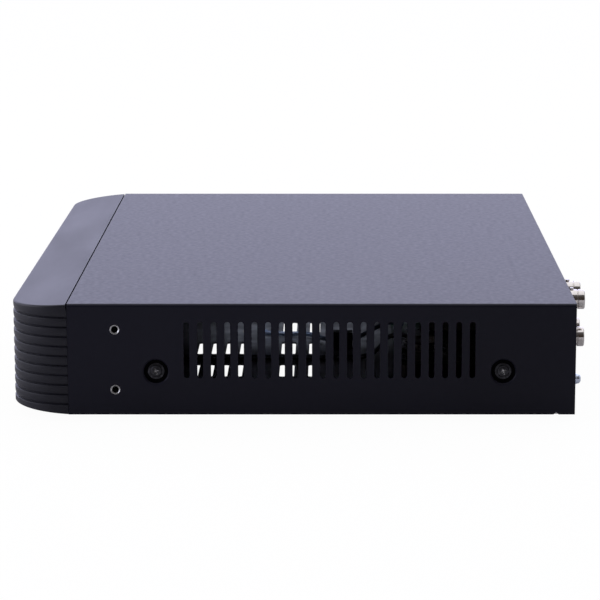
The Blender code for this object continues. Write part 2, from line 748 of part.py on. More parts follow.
def front_pieces():
    """What sits behind the bezel: window, light guides, infrared receiver, socket and their board."""
    box(
        "status_window", (BEZEL_FACE + 0.2 * MM, BEZEL_FACE + 2.5 * MM),
        (WINDOW_INWARDS[0] + GAP, WINDOW_INWARDS[1] - GAP), (WINDOW_UPS[0] + GAP, WINDOW_UPS[1] - GAP),
        smoked_window(),
    )
    prism(
        "front_board", [rectangle(FRONT_BOARD_INWARDS, FRONT_BOARD_UPS)],
        FRONT_BOARD_BACKS[1] - FRONT_BOARD_BACKS[0], facing_rear(sum(FRONT_BOARD_BACKS) / 2), board_green(),
    )
    middle_up = sum(WINDOW_UPS) / 2
    guide_backs = (BEZEL_FACE + 2.8 * MM, FRONT_BOARD_BACKS[0] - 1.2 * MM)
    guide = box(
        "light_guide", (-14 * MM, -12 * MM), (66 * MM, 86 * MM), around(middle_up, 3 * MM), clear_plastic()
    )
    for i, inward in enumerate(GUIDE_INWARDS):
        middle = at(sum(guide_backs) / 2, inward, middle_up)
        length = guide_backs[1] - guide_backs[0]
        join(guide, tool_round(f"helper_guide_{i}", middle, "Y", 1.5 * MM, length, segments=12))
    receiver_front = -15 * MM
    socket_back = FRONT_BOARD_BACKS[0] - GAP
    receiver = box(
        "infrared_receiver", (receiver_front, socket_back),
        around(RECEIVER_INWARD, 3.5 * MM), around(middle_up, 3.5 * MM), chip_epoxy(),
    )
    lens_place = at(receiver_front, RECEIVER_INWARD, middle_up)
    join(receiver, tool_round("helper_receiver_lens", lens_place, "Y", 2.6 * MM, 4 * MM, segments=16))
    usb_socket("front_usb_socket", USB_INWARD, (USB_UP,), (BEZEL_FACE + GAP, socket_back), -1)


def foot_and_screw_pieces():
    """Rubber feet, side screws, board and drive screws and the grounding screw."""
    foot_profile = [
        (0, 0),
        (FOOT_RADIUS, 0),
        (FOOT_RADIUS, -1.6 * MM),
        (FOOT_RADIUS - 1.2 * MM, GAP - FOOT_HEIGHT),
        (0, GAP - FOOT_HEIGHT),
    ]
    for end, back in zip(("front", "rear"), FOOT_BACKS):
        for side, inward in (("right", FOOT_INWARD), ("left", WIDTH - FOOT_INWARD)):
            turned(f"foot_{end}_{side}", foot_profile, at(back, inward, -GAP), "+Z", rubber(), segments=20)
    seat = DIMPLE_DEPTH - GAP
    for side, inward, axis in (("right", seat, "+X"), ("left", WIDTH - seat, "-X")):
        for end, back in zip(("front", "rear"), SCREW_BACKS):
            place = at(back, inward, SCREW_UP)
            screw(f"side_screw_{end}_{side}", place, axis, 4.45 * MM, 2.9 * MM, 3.6 * MM, black_paint())
    for i, (back, inward) in enumerate(BOARD_SCREW_PLACES):
        screw(f"board_screw_{i + 1}", at(back, inward, STAND_OFF), "+Z", 2.9 * MM, 2.2 * MM, 5 * MM, zinc())
    for i, (back, inward) in enumerate(drive_screw_places()):
        drive_screw(f"drive_screw_{i + 1}", at(back, inward, 0))
    ground_place = at(REAR_WALL[1] + GAP, GROUND_INWARD, GROUND_UP)
    screw("ground_screw", ground_place, "+Y", 2.75 * MM, 2.3 * MM, 5 * MM, zinc(), head=2.5 * MM)


def screw(name, seat, axis, flange_radius, crown_radius, length, finish, head=1.8 * MM):
    """A cross-head screw with a flange and a raised crown, its seat being the underside of its head."""
    profile = [
        (0, head),
        (0.75 * crown_radius, head - 0.2 * MM),
        (crown_radius, 0.42 * head),
        (flange_radius, 0.25 * head),
        (flange_radius, 0),
        (SCREW_SHANK, 0),
        (SCREW_SHANK, -length),
        (0, -length),
    ]
    obj = turned(name, profile, seat, axis, finish, segments=12)
    middle = seat + AXIS_WAYS[axis] * (head + 0.3 * MM)
    return cut(obj, cross_cutter(f"cutter_cross_{name}", middle, axis[1], 0.68 * crown_radius))


def cross_cutter(name, middle, axis, reach):
    """A plus-shaped prism for a cross recess."""
    slim = 0.32 * MM
    loop = []
    for i in range(4):
        angle = 0.5 * math.pi * i
        along, across = Vector((math.cos(angle), math.sin(angle))), Vector((-math.sin(angle), math.cos(angle)))
        for x, y in ((reach, -slim), (reach, slim), (slim, slim)):
            loop.append(tuple(x * along + y * across))
    place = Matrix.Translation(middle) @ AXIS_TURNS[axis] @ Matrix.Rotation(math.radians(20), 4, "Z")
    return prism(name, [loop], CROSS_THICK, place, helper=True)


def drive_screw(name, place):
    """A flat screw driven up through the floor into the drive."""
    profile = [
        (0, 8.0 * MM),
        (SCREW_SHANK, 8.0 * MM),
        (SCREW_SHANK, -GAP),
        (2.9 * MM, -GAP),
        (2.9 * MM, -0.9 * MM),
        (2.2 * MM, -1.5 * MM),
        (0, -1.5 * MM),
    ]
    return turned(name, profile, place, "+Z", zinc(), segments=12)


# ---------------------------------------------------------------- rear sockets


def camera_jacks():
    """Four bayonet jacks in two stacked pairs, each pair on its own plastic housing."""
    housing_backs = (207 * MM, REAR_WALL[0] - GAP)
    for i, inward in enumerate(JACK_INWARDS):
        housing = box(
            f"jack_housing_{i + 1}", housing_backs, around(inward, 7.3 * MM), (STAND_OFF, 46 * MM),
            black_plastic(),
        )
        for row, up in zip(("lower", "upper"), JACK_UPS):
            middle = at(222 * MM, inward, up)
            cut(housing, tool_round(f"cutter_jack_{row}_{i + 1}", middle, "Y", JACK_RADIUS + GAP, 20 * MM))
            camera_jack(f"camera_jack_{row}_{i + 1}", at(COVER_DEPTH, inward, up))


def camera_jack(name, place):
    """A bayonet jack: a stepped barrel with two lugs, an open mouth and a centre contact."""
    tip = JACK_REACH
    tail = -18 * MM
    collar = JACK_RADIUS
    profile = [
        (0, tip - 2.4 * MM),
        (1.1 * MM, tip - 2.4 * MM),
        (2.3 * MM, tip - 4.5 * MM),
        (2.3 * MM, tip - 7.5 * MM),
        (4.05 * MM, tip - 7.5 * MM),
        (4.05 * MM, tip),
        (collar - 0.2 * MM, tip),
        (collar, tip - 0.3 * MM),
        (collar, tip - 3.1 * MM),
        (collar - 0.3 * MM, tip - 3.4 * MM),
        (collar, tip - 3.7 * MM),
        (collar, -4.6 * MM),
        (collar - 0.75 * MM, -4.9 * MM),
        (collar - 0.75 * MM, tail),
        (0, tail),
    ]
    jack = turned(name, profile, place, "+Y", nickel(), segments=16)
    lug_place = place + Vector((0, tip - 6.2 * MM, 0))
    mouth_place = place + Vector((0, tip - 3.7 * MM, 0))
    lugs = tool_round(f"helper_lugs_{name}", lug_place, "Z", 1.0 * MM, 2 * collar + 1.6 * MM, segments=8)
    cut(lugs, tool_round(f"cutter_mouth_{name}", mouth_place, "Y", 4.3 * MM, 7.2 * MM, segments=16))
    return join(jack, lugs)


def usb_socket(name, inward, ups, backs, facing):
    """One flat socket in a metal shell, or a stack of them, with a tongue in each mouth."""
    shell_ups = (ups[0] - USB_HALF_HEIGHT, ups[-1] + USB_HALF_HEIGHT)
    shell = box(name, backs, around(inward, USB_HALF_WIDTH), shell_ups, nickel())
    mouth_end = backs[1] if facing > 0 else backs[0]
    inner = mouth_end - facing * USB_MOUTH_DEPTH
    for i, up in enumerate(ups):
        hollow_backs = sorted((mouth_end + facing * MM, inner))
        tongue_backs = sorted((mouth_end - facing * 1.2 * MM, inner - facing * OVERLAP))
        cut(shell, tool_box(f"cutter_{name}_{i}", hollow_backs, around(inward, 6.1 * MM), around(up, 2.4 * MM)))
        tongue_ups = (up + 0.2 * MM, up + 1.9 * MM)
        join(shell, tool_box(f"helper_{name}_{i}", tongue_backs, around(inward, 5.4 * MM), tongue_ups))
    return shell


def rear_sockets():
    """The other sockets that stand on the main board and show through the rear wall."""
    audio_sockets()
    hdmi_socket()
    vga_socket()
    network_socket()
    usb_ups = (STAND_OFF + 3.3 * MM, STAND_OFF + 12.2 * MM)
    usb_socket("rear_usb_sockets", REAR_USB_INWARD, usb_ups, (214 * MM, SOCKET_FACE), 1)
    power_socket()


def audio_sockets():
    """Two stacked phono sockets on one moulded block."""
    block = box(
        "audio_sockets", (214 * MM, REAR_WALL[0] - GAP), around(AUDIO_INWARD, 5.2 * MM), (STAND_OFF, 37 * MM),
        black_plastic(),
    )
    for i, up in enumerate(AUDIO_UPS):
        barrel_place = at(234 * MM, AUDIO_INWARD, up)
        bore_place = at(237 * MM, AUDIO_INWARD, up)
        join(block, tool_round(f"helper_audio_{i}", barrel_place, "Y", AUDIO_BARREL, 12 * MM, segments=20))
        cut(block, tool_round(f"cutter_audio_{i}", bore_place, "Y", 1.75 * MM, 12 * MM, segments=12))


def hdmi_socket():
    """The flat digital monitor socket: a metal shell round a thin tongue."""
    shell = box(
        "hdmi_socket", (219.5 * MM, SOCKET_FACE), around(HDMI_INWARD, 7.5 * MM),
        (STAND_OFF, STAND_OFF + 5.8 * MM), nickel(),
    )
    inner = SOCKET_FACE - 8 * MM
    mouth_ups = (STAND_OFF + 0.6 * MM, STAND_OFF + 5.2 * MM)
    tongue_ups = (STAND_OFF + 2.6 * MM, STAND_OFF + 4.0 * MM)
    tongue_backs = (inner - OVERLAP, SOCKET_FACE - 1.5 * MM)
    cut(shell, tool_box("cutter_hdmi", (inner, SOCKET_FACE + MM), around(HDMI_INWARD, 6.9 * MM), mouth_ups))
    join(shell, tool_box("helper_hdmi", tongue_backs, around(HDMI_INWARD, 5 * MM), tongue_ups))


def network_socket():
    """The network socket: a shielded block with a hollow for the plug and a slot for its latch."""
    shell = box(
        "network_socket", (210 * MM, SOCKET_FACE), around(NETWORK_INWARD, 8.0 * MM),
        (STAND_OFF, STAND_OFF + 13.4 * MM), nickel(),
    )
    plug_backs = (SOCKET_FACE - 13 * MM, SOCKET_FACE + MM)
    latch_backs = (SOCKET_FACE - 12.6 * MM, SOCKET_FACE + MM)
    plug_ups = (STAND_OFF + 3.6 * MM, STAND_OFF + 11.2 * MM)
    latch_ups = (STAND_OFF + 1.4 * MM, STAND_OFF + 4.0 * MM)
    plug_hollow = tool_box("cutter_network", plug_backs, around(NETWORK_INWARD, 6.0 * MM), plug_ups)
    latch_slot = tool_box("cutter_network_latch", latch_backs, around(NETWORK_INWARD, 3.1 * MM), latch_ups)
    cut(shell, plug_hollow, latch_slot)


def vga_socket():
    """The analogue monitor socket: a plastic body, its D-shaped shell and two hexagonal posts."""
    body = box(
        "vga_socket", (218 * MM, REAR_WALL[0] - GAP), around(VGA_INWARD, 15.4 * MM),
        (STAND_OFF, STAND_OFF + 12.4 * MM), socket_plastic(),
    )
    half_top = 8.4 * MM
    half_bottom = 6.4 * MM
    half_height = 4.1 * MM
    loop = [
        (VGA_INWARD - half_top, VGA_UP + half_height),
        (VGA_INWARD + half_top, VGA_UP + half_height),
        (VGA_INWARD + half_bottom, VGA_UP - half_height),
        (VGA_INWARD - half_bottom, VGA_UP - half_height),
    ]
    join(body, prism("helper_vga_shell", [loop], 8.0 * MM, facing_rear(232.5 * MM), helper=True))
    for side, inward in zip(("right", "left"), around(VGA_INWARD, VGA_POST_OFFSET)):
        place = at(232 * MM, inward, VGA_UP)
        join(body, tool_round(f"helper_vga_post_{side}", place, "Y", 2.5 * MM, 8 * MM, segments=6))


def power_socket():
    """The low-voltage power inlet: a block with a round collar, a bore and a centre pin."""
    block = box(
        "power_socket", (216 * MM, REAR_WALL[0] - GAP), around(POWER_INWARD, 4.6 * MM),
        (STAND_OFF, STAND_OFF + 11 * MM), black_plastic(),
    )
    middle = at(229 * MM, POWER_INWARD, POWER_UP)
    pin_middle = at(223.5 * MM, POWER_INWARD, POWER_UP)
    join(block, tool_round("helper_power_collar", middle, "Y", POWER_COLLAR, 5.0 * MM))
    cut(block, tool_round("cutter_power_bore", middle, "Y", 3.15 * MM, 18 * MM))
    join(block, tool_round("helper_power_pin", pin_middle, "Y", 1.05 * MM, 12 * MM, segments=12))


def power_rocker():
    """The power rocker: a clip-in housing with a flange, and the rocker that tilts about an upright axis."""
    flange_backs = (REAR_WALL[1] + GAP, REAR_WALL[1] + 1.8 * MM)
    housing = box(
        "rocker_housing", (212 * MM, flange_backs[0] + OVERLAP),
        around(ROCKER_INWARD, 9.5 * MM), around(ROCKER_UP, 6.5 * MM), black_plastic(),
    )
    flange_inwards = around(ROCKER_INWARD, 10.6 * MM)
    join(housing, tool_box("helper_rocker_flange", flange_backs, flange_inwards, around(ROCKER_UP, 7.6 * MM)))
    hollow_inwards = around(ROCKER_INWARD, 8.6 * MM)
    cut(housing, tool_box("cutter_rocker", (220 * MM, 240 * MM), hollow_inwards, around(ROCKER_UP, 5.5 * MM)))
    half = 7.6 * MM
    horn = 3.4 * MM
    outline = [(-half, horn), (0, 2.2 * MM), (half, horn), (7.2 * MM, -MM), (0, -4.0 * MM), (-7.2 * MM, -MM)]
    upright = Matrix.Rotation(ROCKER_HALF_ANGLE, 4, "Z")
    rocker = prism("power_rocker", [outline], 10.2 * MM, upright, black_plastic())
    rocker.location = at(flange_backs[0] - MM, ROCKER_INWARD, ROCKER_UP)


# ---------------------------------------------------------------- board, drive, fan and leads


def main_board():
    """The main board, with a notch that leaves room for the drive's plugs."""
    notch_inward, notch_back = BOARD_NOTCH
    outline = [
        (BOARD_FRONT, BOARD_NEAR),
        (BOARD_BACK, BOARD_NEAR),
        (BOARD_BACK, BOARD_FAR),
        (notch_back, BOARD_FAR),
        (notch_back, notch_inward),
        (BOARD_FRONT, notch_inward),
    ]
    holes = [circle(place, SCREW_SHANK + GAP, 12) for place in BOARD_SCREW_PLACES]
    prism("main_board", [outline, *holes], BOARD_THICK, flat_at(BOARD_UP + BOARD_THICK / 2), board_green())
    processor_top = STAND_OFF + 1.6 * MM
    box("main_processor", PROCESSOR_BACKS, PROCESSOR_INWARDS, (STAND_OFF, processor_top), chip_epoxy())
    heat_sink(processor_top + GAP)
    for i, back in enumerate(MEMORY_BACKS):
        span = (back, back + 12 * MM)
        box(f"memory_chip_{i + 1}", span, MEMORY_INWARDS, (STAND_OFF, STAND_OFF + 1.1 * MM), chip_epoxy())
    cell = [
        (0, 4.6 * MM), (9.2 * MM, 4.6 * MM), (10.2 * MM, 4.1 * MM), (10.2 * MM, 1.8 * MM),
        (11.2 * MM, 1.2 * MM), (11.2 * MM, 0), (0, 0),
    ]
    turned("clock_cell", cell, at(166 * MM, 97 * MM, STAND_OFF), "+Z", nickel(), segments=20)
    can = [
        (0, 12 * MM), (3.4 * MM, 12 * MM), (4.0 * MM, 11.4 * MM), (4.0 * MM, 1.6 * MM),
        (3.6 * MM, 1.2 * MM), (4.0 * MM, 0.8 * MM), (4.0 * MM, 0), (0, 0),
    ]
    turned("capacitor", can, at(203 * MM, 262 * MM, STAND_OFF), "+Z", bare_aluminium(), segments=16)


def heat_sink(foot):
    """A finned block over the processor."""
    base = 2.0 * MM
    fin = 1.2 * MM
    top = 11 * MM
    count = 8
    near, far = SINK_INWARDS
    pitch = (far - near - fin) / (count - 1)
    loop = [(near, foot), (far, foot)]
    for i in reversed(range(count)):
        start = near + i * pitch
        end = start + fin
        loop += [(end, foot + base), (end, foot + top), (start, foot + top), (start, foot + base)]
    loop = [loop[0], loop[1], *loop[3:-1]]
    place = facing_rear(sum(SINK_BACKS) / 2)
    prism("heat_sink", [loop], SINK_BACKS[1] - SINK_BACKS[0], place, bare_aluminium())


def hard_drive():
    """A full-size drive: cast base, lid, platters on their spindle, swinging head arm and control board."""
    bottom = DRIVE_UPS[0] + 2.0 * MM
    lid_bottom = DRIVE_UPS[1] - 1.6 * MM
    base = box("drive_base", DRIVE_BACKS, DRIVE_INWARDS, (bottom, lid_bottom - GAP), cast_aluminium())
    floor_up = bottom + 5.0 * MM
    room_middle = at(PLATTER_BACK, PLATTER_INWARD, (floor_up + DRIVE_UPS[1]) / 2)
    room_depth = DRIVE_UPS[1] - floor_up
    platter_room = tool_round(
        "cutter_platter_room", room_middle, "Z", PLATTER_RADIUS + MM, room_depth, segments=40
    )
    arm_room = tool_box(
        "cutter_arm_room", (PLATTER_BACK + 20 * MM, DRIVE_BACKS[1] - 14 * MM),
        (DRIVE_INWARDS[0] + 5 * MM, DRIVE_INWARDS[1] - 5 * MM), (floor_up, DRIVE_UPS[1]),
    )
    post_middle = at(ARM_BACK, ARM_INWARD, floor_up + 4 * MM)
    cut(base, platter_room, arm_room)
    join(base, tool_round("helper_arm_post", post_middle, "Z", ARM_POST_RADIUS, 9 * MM, segments=16))
    for i, (back, inward) in enumerate(drive_screw_places()):
        place = at(back, inward, bottom)
        cut(base, tool_round(f"cutter_drive_hole_{i}", place, "Z", SCREW_SHANK + GAP, 8 * MM, segments=12))
    smooth(base)
    lid = box("drive_lid", DRIVE_BACKS, DRIVE_INWARDS, (lid_bottom, DRIVE_UPS[1]), bare_aluminium())
    vent_place = at(DRIVE_BACKS[1] - 22 * MM, DRIVE_INWARDS[0] + 16 * MM, DRIVE_UPS[1])
    cut(lid, tool_round("cutter_lid_vent", vent_place, "Z", 1.2 * MM, 8 * MM, segments=12))
    drive_platters(floor_up + 1.0 * MM)
    head_arm(floor_up + 0.6 * MM)
    prism(
        "drive_board", [rectangle((40 * MM, 125 * MM), (232 * MM, 304 * MM))], 1.4 * MM,
        flat_at(DRIVE_UPS[0] + 0.9 * MM), board_green(),
    )


def drive_platters(up):
    """Two platters on one hub, from this height."""
    thick = 1.3 * MM
    hub = 12.5 * MM
    top = 10.2 * MM
    low, high = 2.6 * MM, 7.4 * MM
    profile = [
        (0, top),
        (hub - MM, top),
        (hub, top - 0.8 * MM),
        (hub, high + thick),
        (PLATTER_RADIUS, high + thick),
        (PLATTER_RADIUS, high),
        (hub, high),
        (hub, low + thick),
        (PLATTER_RADIUS, low + thick),
        (PLATTER_RADIUS, low),
        (hub, low),
        (hub, 0),
        (0, 0),
    ]
    turned("drive_platters", profile, at(PLATTER_BACK, PLATTER_INWARD, up), "+Z", mirror_disk(), segments=28)


def head_arm(up):
    """The head arm and its coil, on a sleeve that turns about the drive's post."""
    sleeve_radius = 7.0 * MM
    sleeve_bore = ARM_POST_RADIUS + 0.5 * MM
    sleeve_height = 13.0 * MM
    profile = [
        (sleeve_bore, sleeve_height),
        (sleeve_radius - 0.5 * MM, sleeve_height),
        (sleeve_radius, sleeve_height - 0.5 * MM),
        (sleeve_radius, 0),
        (sleeve_bore, 0),
        (sleeve_bore, sleeve_height),
    ]
    arm = turned("head_arm", profile, at(ARM_BACK, ARM_INWARD, up), "+Z", cast_aluminium(), segments=20)
    waist = 0.7 * ARM_REACH
    blade = [
        (5 * MM, -5 * MM), (waist, -2.6 * MM), (ARM_REACH, -1.0 * MM),
        (ARM_REACH, 1.0 * MM), (waist, 2.6 * MM), (5 * MM, 5 * MM),
    ]
    coil = [(-5 * MM, -4 * MM), (-19 * MM, -9 * MM), (-19 * MM, 9 * MM), (-5 * MM, 4 * MM)]
    along = Vector((-math.cos(ARM_REST_ANGLE), math.sin(ARM_REST_ANGLE)))
    across = Vector((-along.y, along.x))
    pivot = Vector((ARM_BACK, ARM_INWARD))
    plates = (("blade", blade, 10.2 * MM, 1.2 * MM), ("coil", coil, 6.0 * MM, 3.0 * MM))
    for label, loop, height, thick in plates:
        swung = [tuple(pivot + x * along + y * across) for x, y in loop]
        join(arm, prism(f"helper_arm_{label}", [swung], thick, flat_at(up + height + thick / 2), helper=True))


def cooling_fan():
    """A square fan: its frame on the fan wall, with struts at the inner face, and its bladed rotor."""
    inwards = (WIDTH - FAN_FACE - FAN_THICK, WIDTH - FAN_FACE)
    half = FAN_SIZE / 2
    frame = prism(
        "fan_frame",
        [
            rounded_rectangle((FAN_BACK - half, FAN_BACK + half), (FAN_UP - half, FAN_UP + half), 3 * MM),
            circle((FAN_BACK, FAN_UP), FAN_BORE, 32),
            *[
                circle((back, up), 1.7 * MM, 8)
                for back in around(FAN_BACK, 16 * MM)
                for up in around(FAN_UP, 16 * MM)
            ],
        ],
        FAN_THICK, facing_side(sum(inwards) / 2), black_plastic(),
    )
    strut_thick = 1.4 * MM
    strut_inward = inwards[0] + strut_thick / 2
    middle = at(FAN_BACK, strut_inward, FAN_UP)
    join(frame, tool_round("helper_fan_hub", middle, "X", HUB_RADIUS, strut_thick))
    for i in range(4):
        angle = math.radians(20 + 90 * i)
        outward = 14 * MM * Vector((0, math.cos(angle), math.sin(angle)))
        strut = bmesh.new()
        bmesh.ops.create_cube(strut, size=1.0)
        bmesh.ops.scale(strut, vec=(strut_thick - OVERLAP, 12 * MM, 2.0 * MM), verts=strut.verts)
        matrix = Matrix.Translation(middle + outward) @ Matrix.Rotation(angle, 4, "X")
        bmesh.ops.transform(strut, matrix=matrix, verts=strut.verts)
        join(frame, add_mesh(f"helper_strut_{i}", strut, helper=True))
    fan_rotor(inwards[1] - 0.8 * MM)


def fan_rotor(outer_face):
    """The rotor: a cup with leaning blades, turning about the X axis, its outer face this far in."""
    depth = 7.6 * MM
    centre = at(FAN_BACK, outer_face - depth / 2, FAN_UP)
    rotor = cylinder("fan_rotor", Vector(), "X", HUB_RADIUS, depth, black_plastic(), segments=24)
    lean_turn = Matrix.Rotation(math.radians(32), 4, "Z")
    outward = Matrix.Translation((0, 0, 13.2 * MM))
    for i in range(BLADE_COUNT):
        shape = bmesh.new()
        bmesh.ops.create_cube(shape, size=1.0)
        bmesh.ops.scale(shape, vec=(7.4 * MM, 1.2 * MM, 9.2 * MM), verts=shape.verts)
        spin = Matrix.Rotation(2 * math.pi * i / BLADE_COUNT, 4, "X")
        bmesh.ops.transform(shape, matrix=spin @ outward @ lean_turn, verts=shape.verts)
        blade = add_mesh(f"helper_blade_{i}", shape, helper=True)
        blade.location = centre
        join(rotor, blade)
    rotor.location = centre


def leads():
    """Everything that is plugged together inside, each lead held along its whole route."""
    front_panel_lead()
    drive_leads()
    fan_lead()


def front_panel_lead():
    """The flat lead from the front board, through the front wall and along the floor to the main board."""
    route = (
        (-5.6, 19), (1, 19), (8, 12), (12, 4), (20, 2), (60, 2), (100, 2), (132, 2),
        (142, 5), (148, 12), (155, 13.6), (159, 12.2),
    )
    profile = [(back * MM, up * MM) for back, up in route]
    ribbon("front_panel_lead", profile, 0.9 * MM, 110 * MM, 7 * MM, lead_sheath())


def drive_leads():
    """The drive's plug, its header on the board, and the data and power leads that arch between them."""
    start = DRIVE_BACKS[1] + GAP
    plug_end = start + 9 * MM
    plug_inwards = (232 * MM, 274 * MM)
    header_top = STAND_OFF + 6 * MM
    box("drive_plug", (start, plug_end), plug_inwards, (9.4 * MM, 14.4 * MM), chip_epoxy())
    box("drive_lead_header", (180 * MM, 186 * MM), plug_inwards, (STAND_OFF, header_top), black_plastic())
    route = ((0, 11.9), (3, 12.2), (7, 17), (11, 24), (17, 26), (20.4, 22.0))
    profile = [(plug_end + GAP + back * MM, up * MM) for back, up in route]
    profile.append((plug_end + GAP + 20.7 * MM, header_top + GAP))
    for name, inward, width in (("data", 238 * MM, 7 * MM), ("power", 262 * MM, 20 * MM)):
        ribbon(f"drive_{name}_lead", profile, 1.6 * MM, inward, width, lead_sheath())


def fan_lead():
    """The fan's thin lead: over the drive, down to the floor, through its clip and up to the board."""
    route = (
        (155.5, 300, 38.6), (151, 290, 40), (140, 275, 37), (118, 255, 34), (98, 236, 34), (87, 221, 34),
        (84, 213.6, 30), (83.5, 212.6, 18), (83.5, 211.6, 8), (83.3, 205, 3.2), (83, 190, 2.6),
        (84, 170, 2.6), (92, 163, 2.6), (105, 162.5, 2.8), (112, 154, 3.6), (116, 141.5, 4.8),
        (120.5, 137.2, 5.4), (126, 137, 5.4), (134, 137, 6.5), (143, 137, 11.5), (150, 137, 14.2),
        (157, 137, 13.2),
    )
    points = [(back * MM, inward * MM, up * MM) for back, inward, up in route]
    tube("fan_lead", points, 1.2 * MM, lead_sheath())
    clip_middle = (126 * MM, 137 * MM, 5.4 * MM)
    clip = box(
        "lead_clip", around(clip_middle[0], 5 * MM), around(clip_middle[1], 3.8 * MM),
        (SHEET + GAP, 9.5 * MM), black_plastic(),
    )
    cut(clip, tool_round("cutter_clip", at(*clip_middle), "Y", 1.7 * MM, 20 * MM, segments=12))


clear_scene()
parts = new_collection(PARTS_NAME)
cutters = new_collection(CUTTERS_NAME)
top_cover()
base_chassis()
front_bezel()
front_pieces()
foot_and_screw_pieces()
camera_jacks()
rear_sockets()
power_rocker()
main_board()
hard_drive()
cooling_fan()
leads()
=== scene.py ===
"""The looks of a compact desktop video recorder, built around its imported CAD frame.

Metres, +Z up, the bezel faces -Y and +X is the right side. Places inside the case are given as
back (behind the cover's front edge), inward (from the right side) and up (from the case's bottom).
"""

import math

import bmesh
import bpy
from mathutils import Matrix, Vector


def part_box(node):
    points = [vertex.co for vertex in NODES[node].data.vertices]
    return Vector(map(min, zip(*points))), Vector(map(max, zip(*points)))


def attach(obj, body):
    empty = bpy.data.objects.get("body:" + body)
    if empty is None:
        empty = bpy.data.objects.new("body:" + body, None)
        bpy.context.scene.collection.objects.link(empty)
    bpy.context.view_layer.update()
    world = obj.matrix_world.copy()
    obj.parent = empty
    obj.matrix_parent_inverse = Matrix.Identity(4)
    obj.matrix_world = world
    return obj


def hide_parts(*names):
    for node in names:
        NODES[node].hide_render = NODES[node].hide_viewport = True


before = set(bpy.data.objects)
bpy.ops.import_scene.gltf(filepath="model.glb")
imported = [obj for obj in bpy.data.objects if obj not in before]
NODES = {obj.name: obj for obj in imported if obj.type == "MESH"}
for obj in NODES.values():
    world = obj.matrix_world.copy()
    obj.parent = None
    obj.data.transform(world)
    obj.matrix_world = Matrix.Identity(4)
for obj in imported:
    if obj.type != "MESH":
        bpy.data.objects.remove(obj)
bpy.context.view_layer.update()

MM = 0.001

COVER_LOW, COVER_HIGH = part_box("top_cover")
BEZEL_LOW, BEZEL_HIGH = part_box("front_bezel")
JACK_LOW, JACK_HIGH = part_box("camera_jack_upper_1")
WIDTH = COVER_HIGH.x - COVER_LOW.x
DEPTH = COVER_HIGH.y - COVER_LOW.y
HEIGHT = COVER_HIGH.z - COVER_LOW.z
BEZEL_DEPTH = COVER_LOW.y - BEZEL_LOW.y
SHEET = 1.0 * MM
GAP = 0.3 * MM

SLOT_COUNT = 22
FIRST_SLOT = 54.2 * MM
SLOT_PITCH = 6.2 * MM
SLOT_WIDTH = 2.6 * MM
SLOT_UPS = (17.0 * MM, 43.2 * MM)
SCREW_BACKS = (40.2 * MM, 198.5 * MM)
SCREW_UP = 20.1 * MM
DIMPLE_RADIUS = 5.65 * MM
DIMPLE_DEPTH = 2.2 * MM
BRACKET_BACK = 21.6 * MM
BRACKET_UPS = (11.7 * MM, 39.7 * MM)

WALL = 2.2 * MM
TOP_DROP = 2.1 * MM
BOTTOM_RISE = 1.6 * MM
SEAM_STEP = 0.25 * MM
SEAM_GAP = 0.75 * MM
CAP_RISE = 0.012 * MM
GROOVE_COUNT = 10
LOWEST_GROOVE = 4.6 * MM
GROOVE_PITCH = 4.48 * MM
GROOVE_DEPTH = 0.85 * MM


def at(back, inward, up):
    return Vector((COVER_HIGH.x - inward, COVER_LOW.y + back, COVER_LOW.z + up))


# ---------------------------------------------------------------- materials


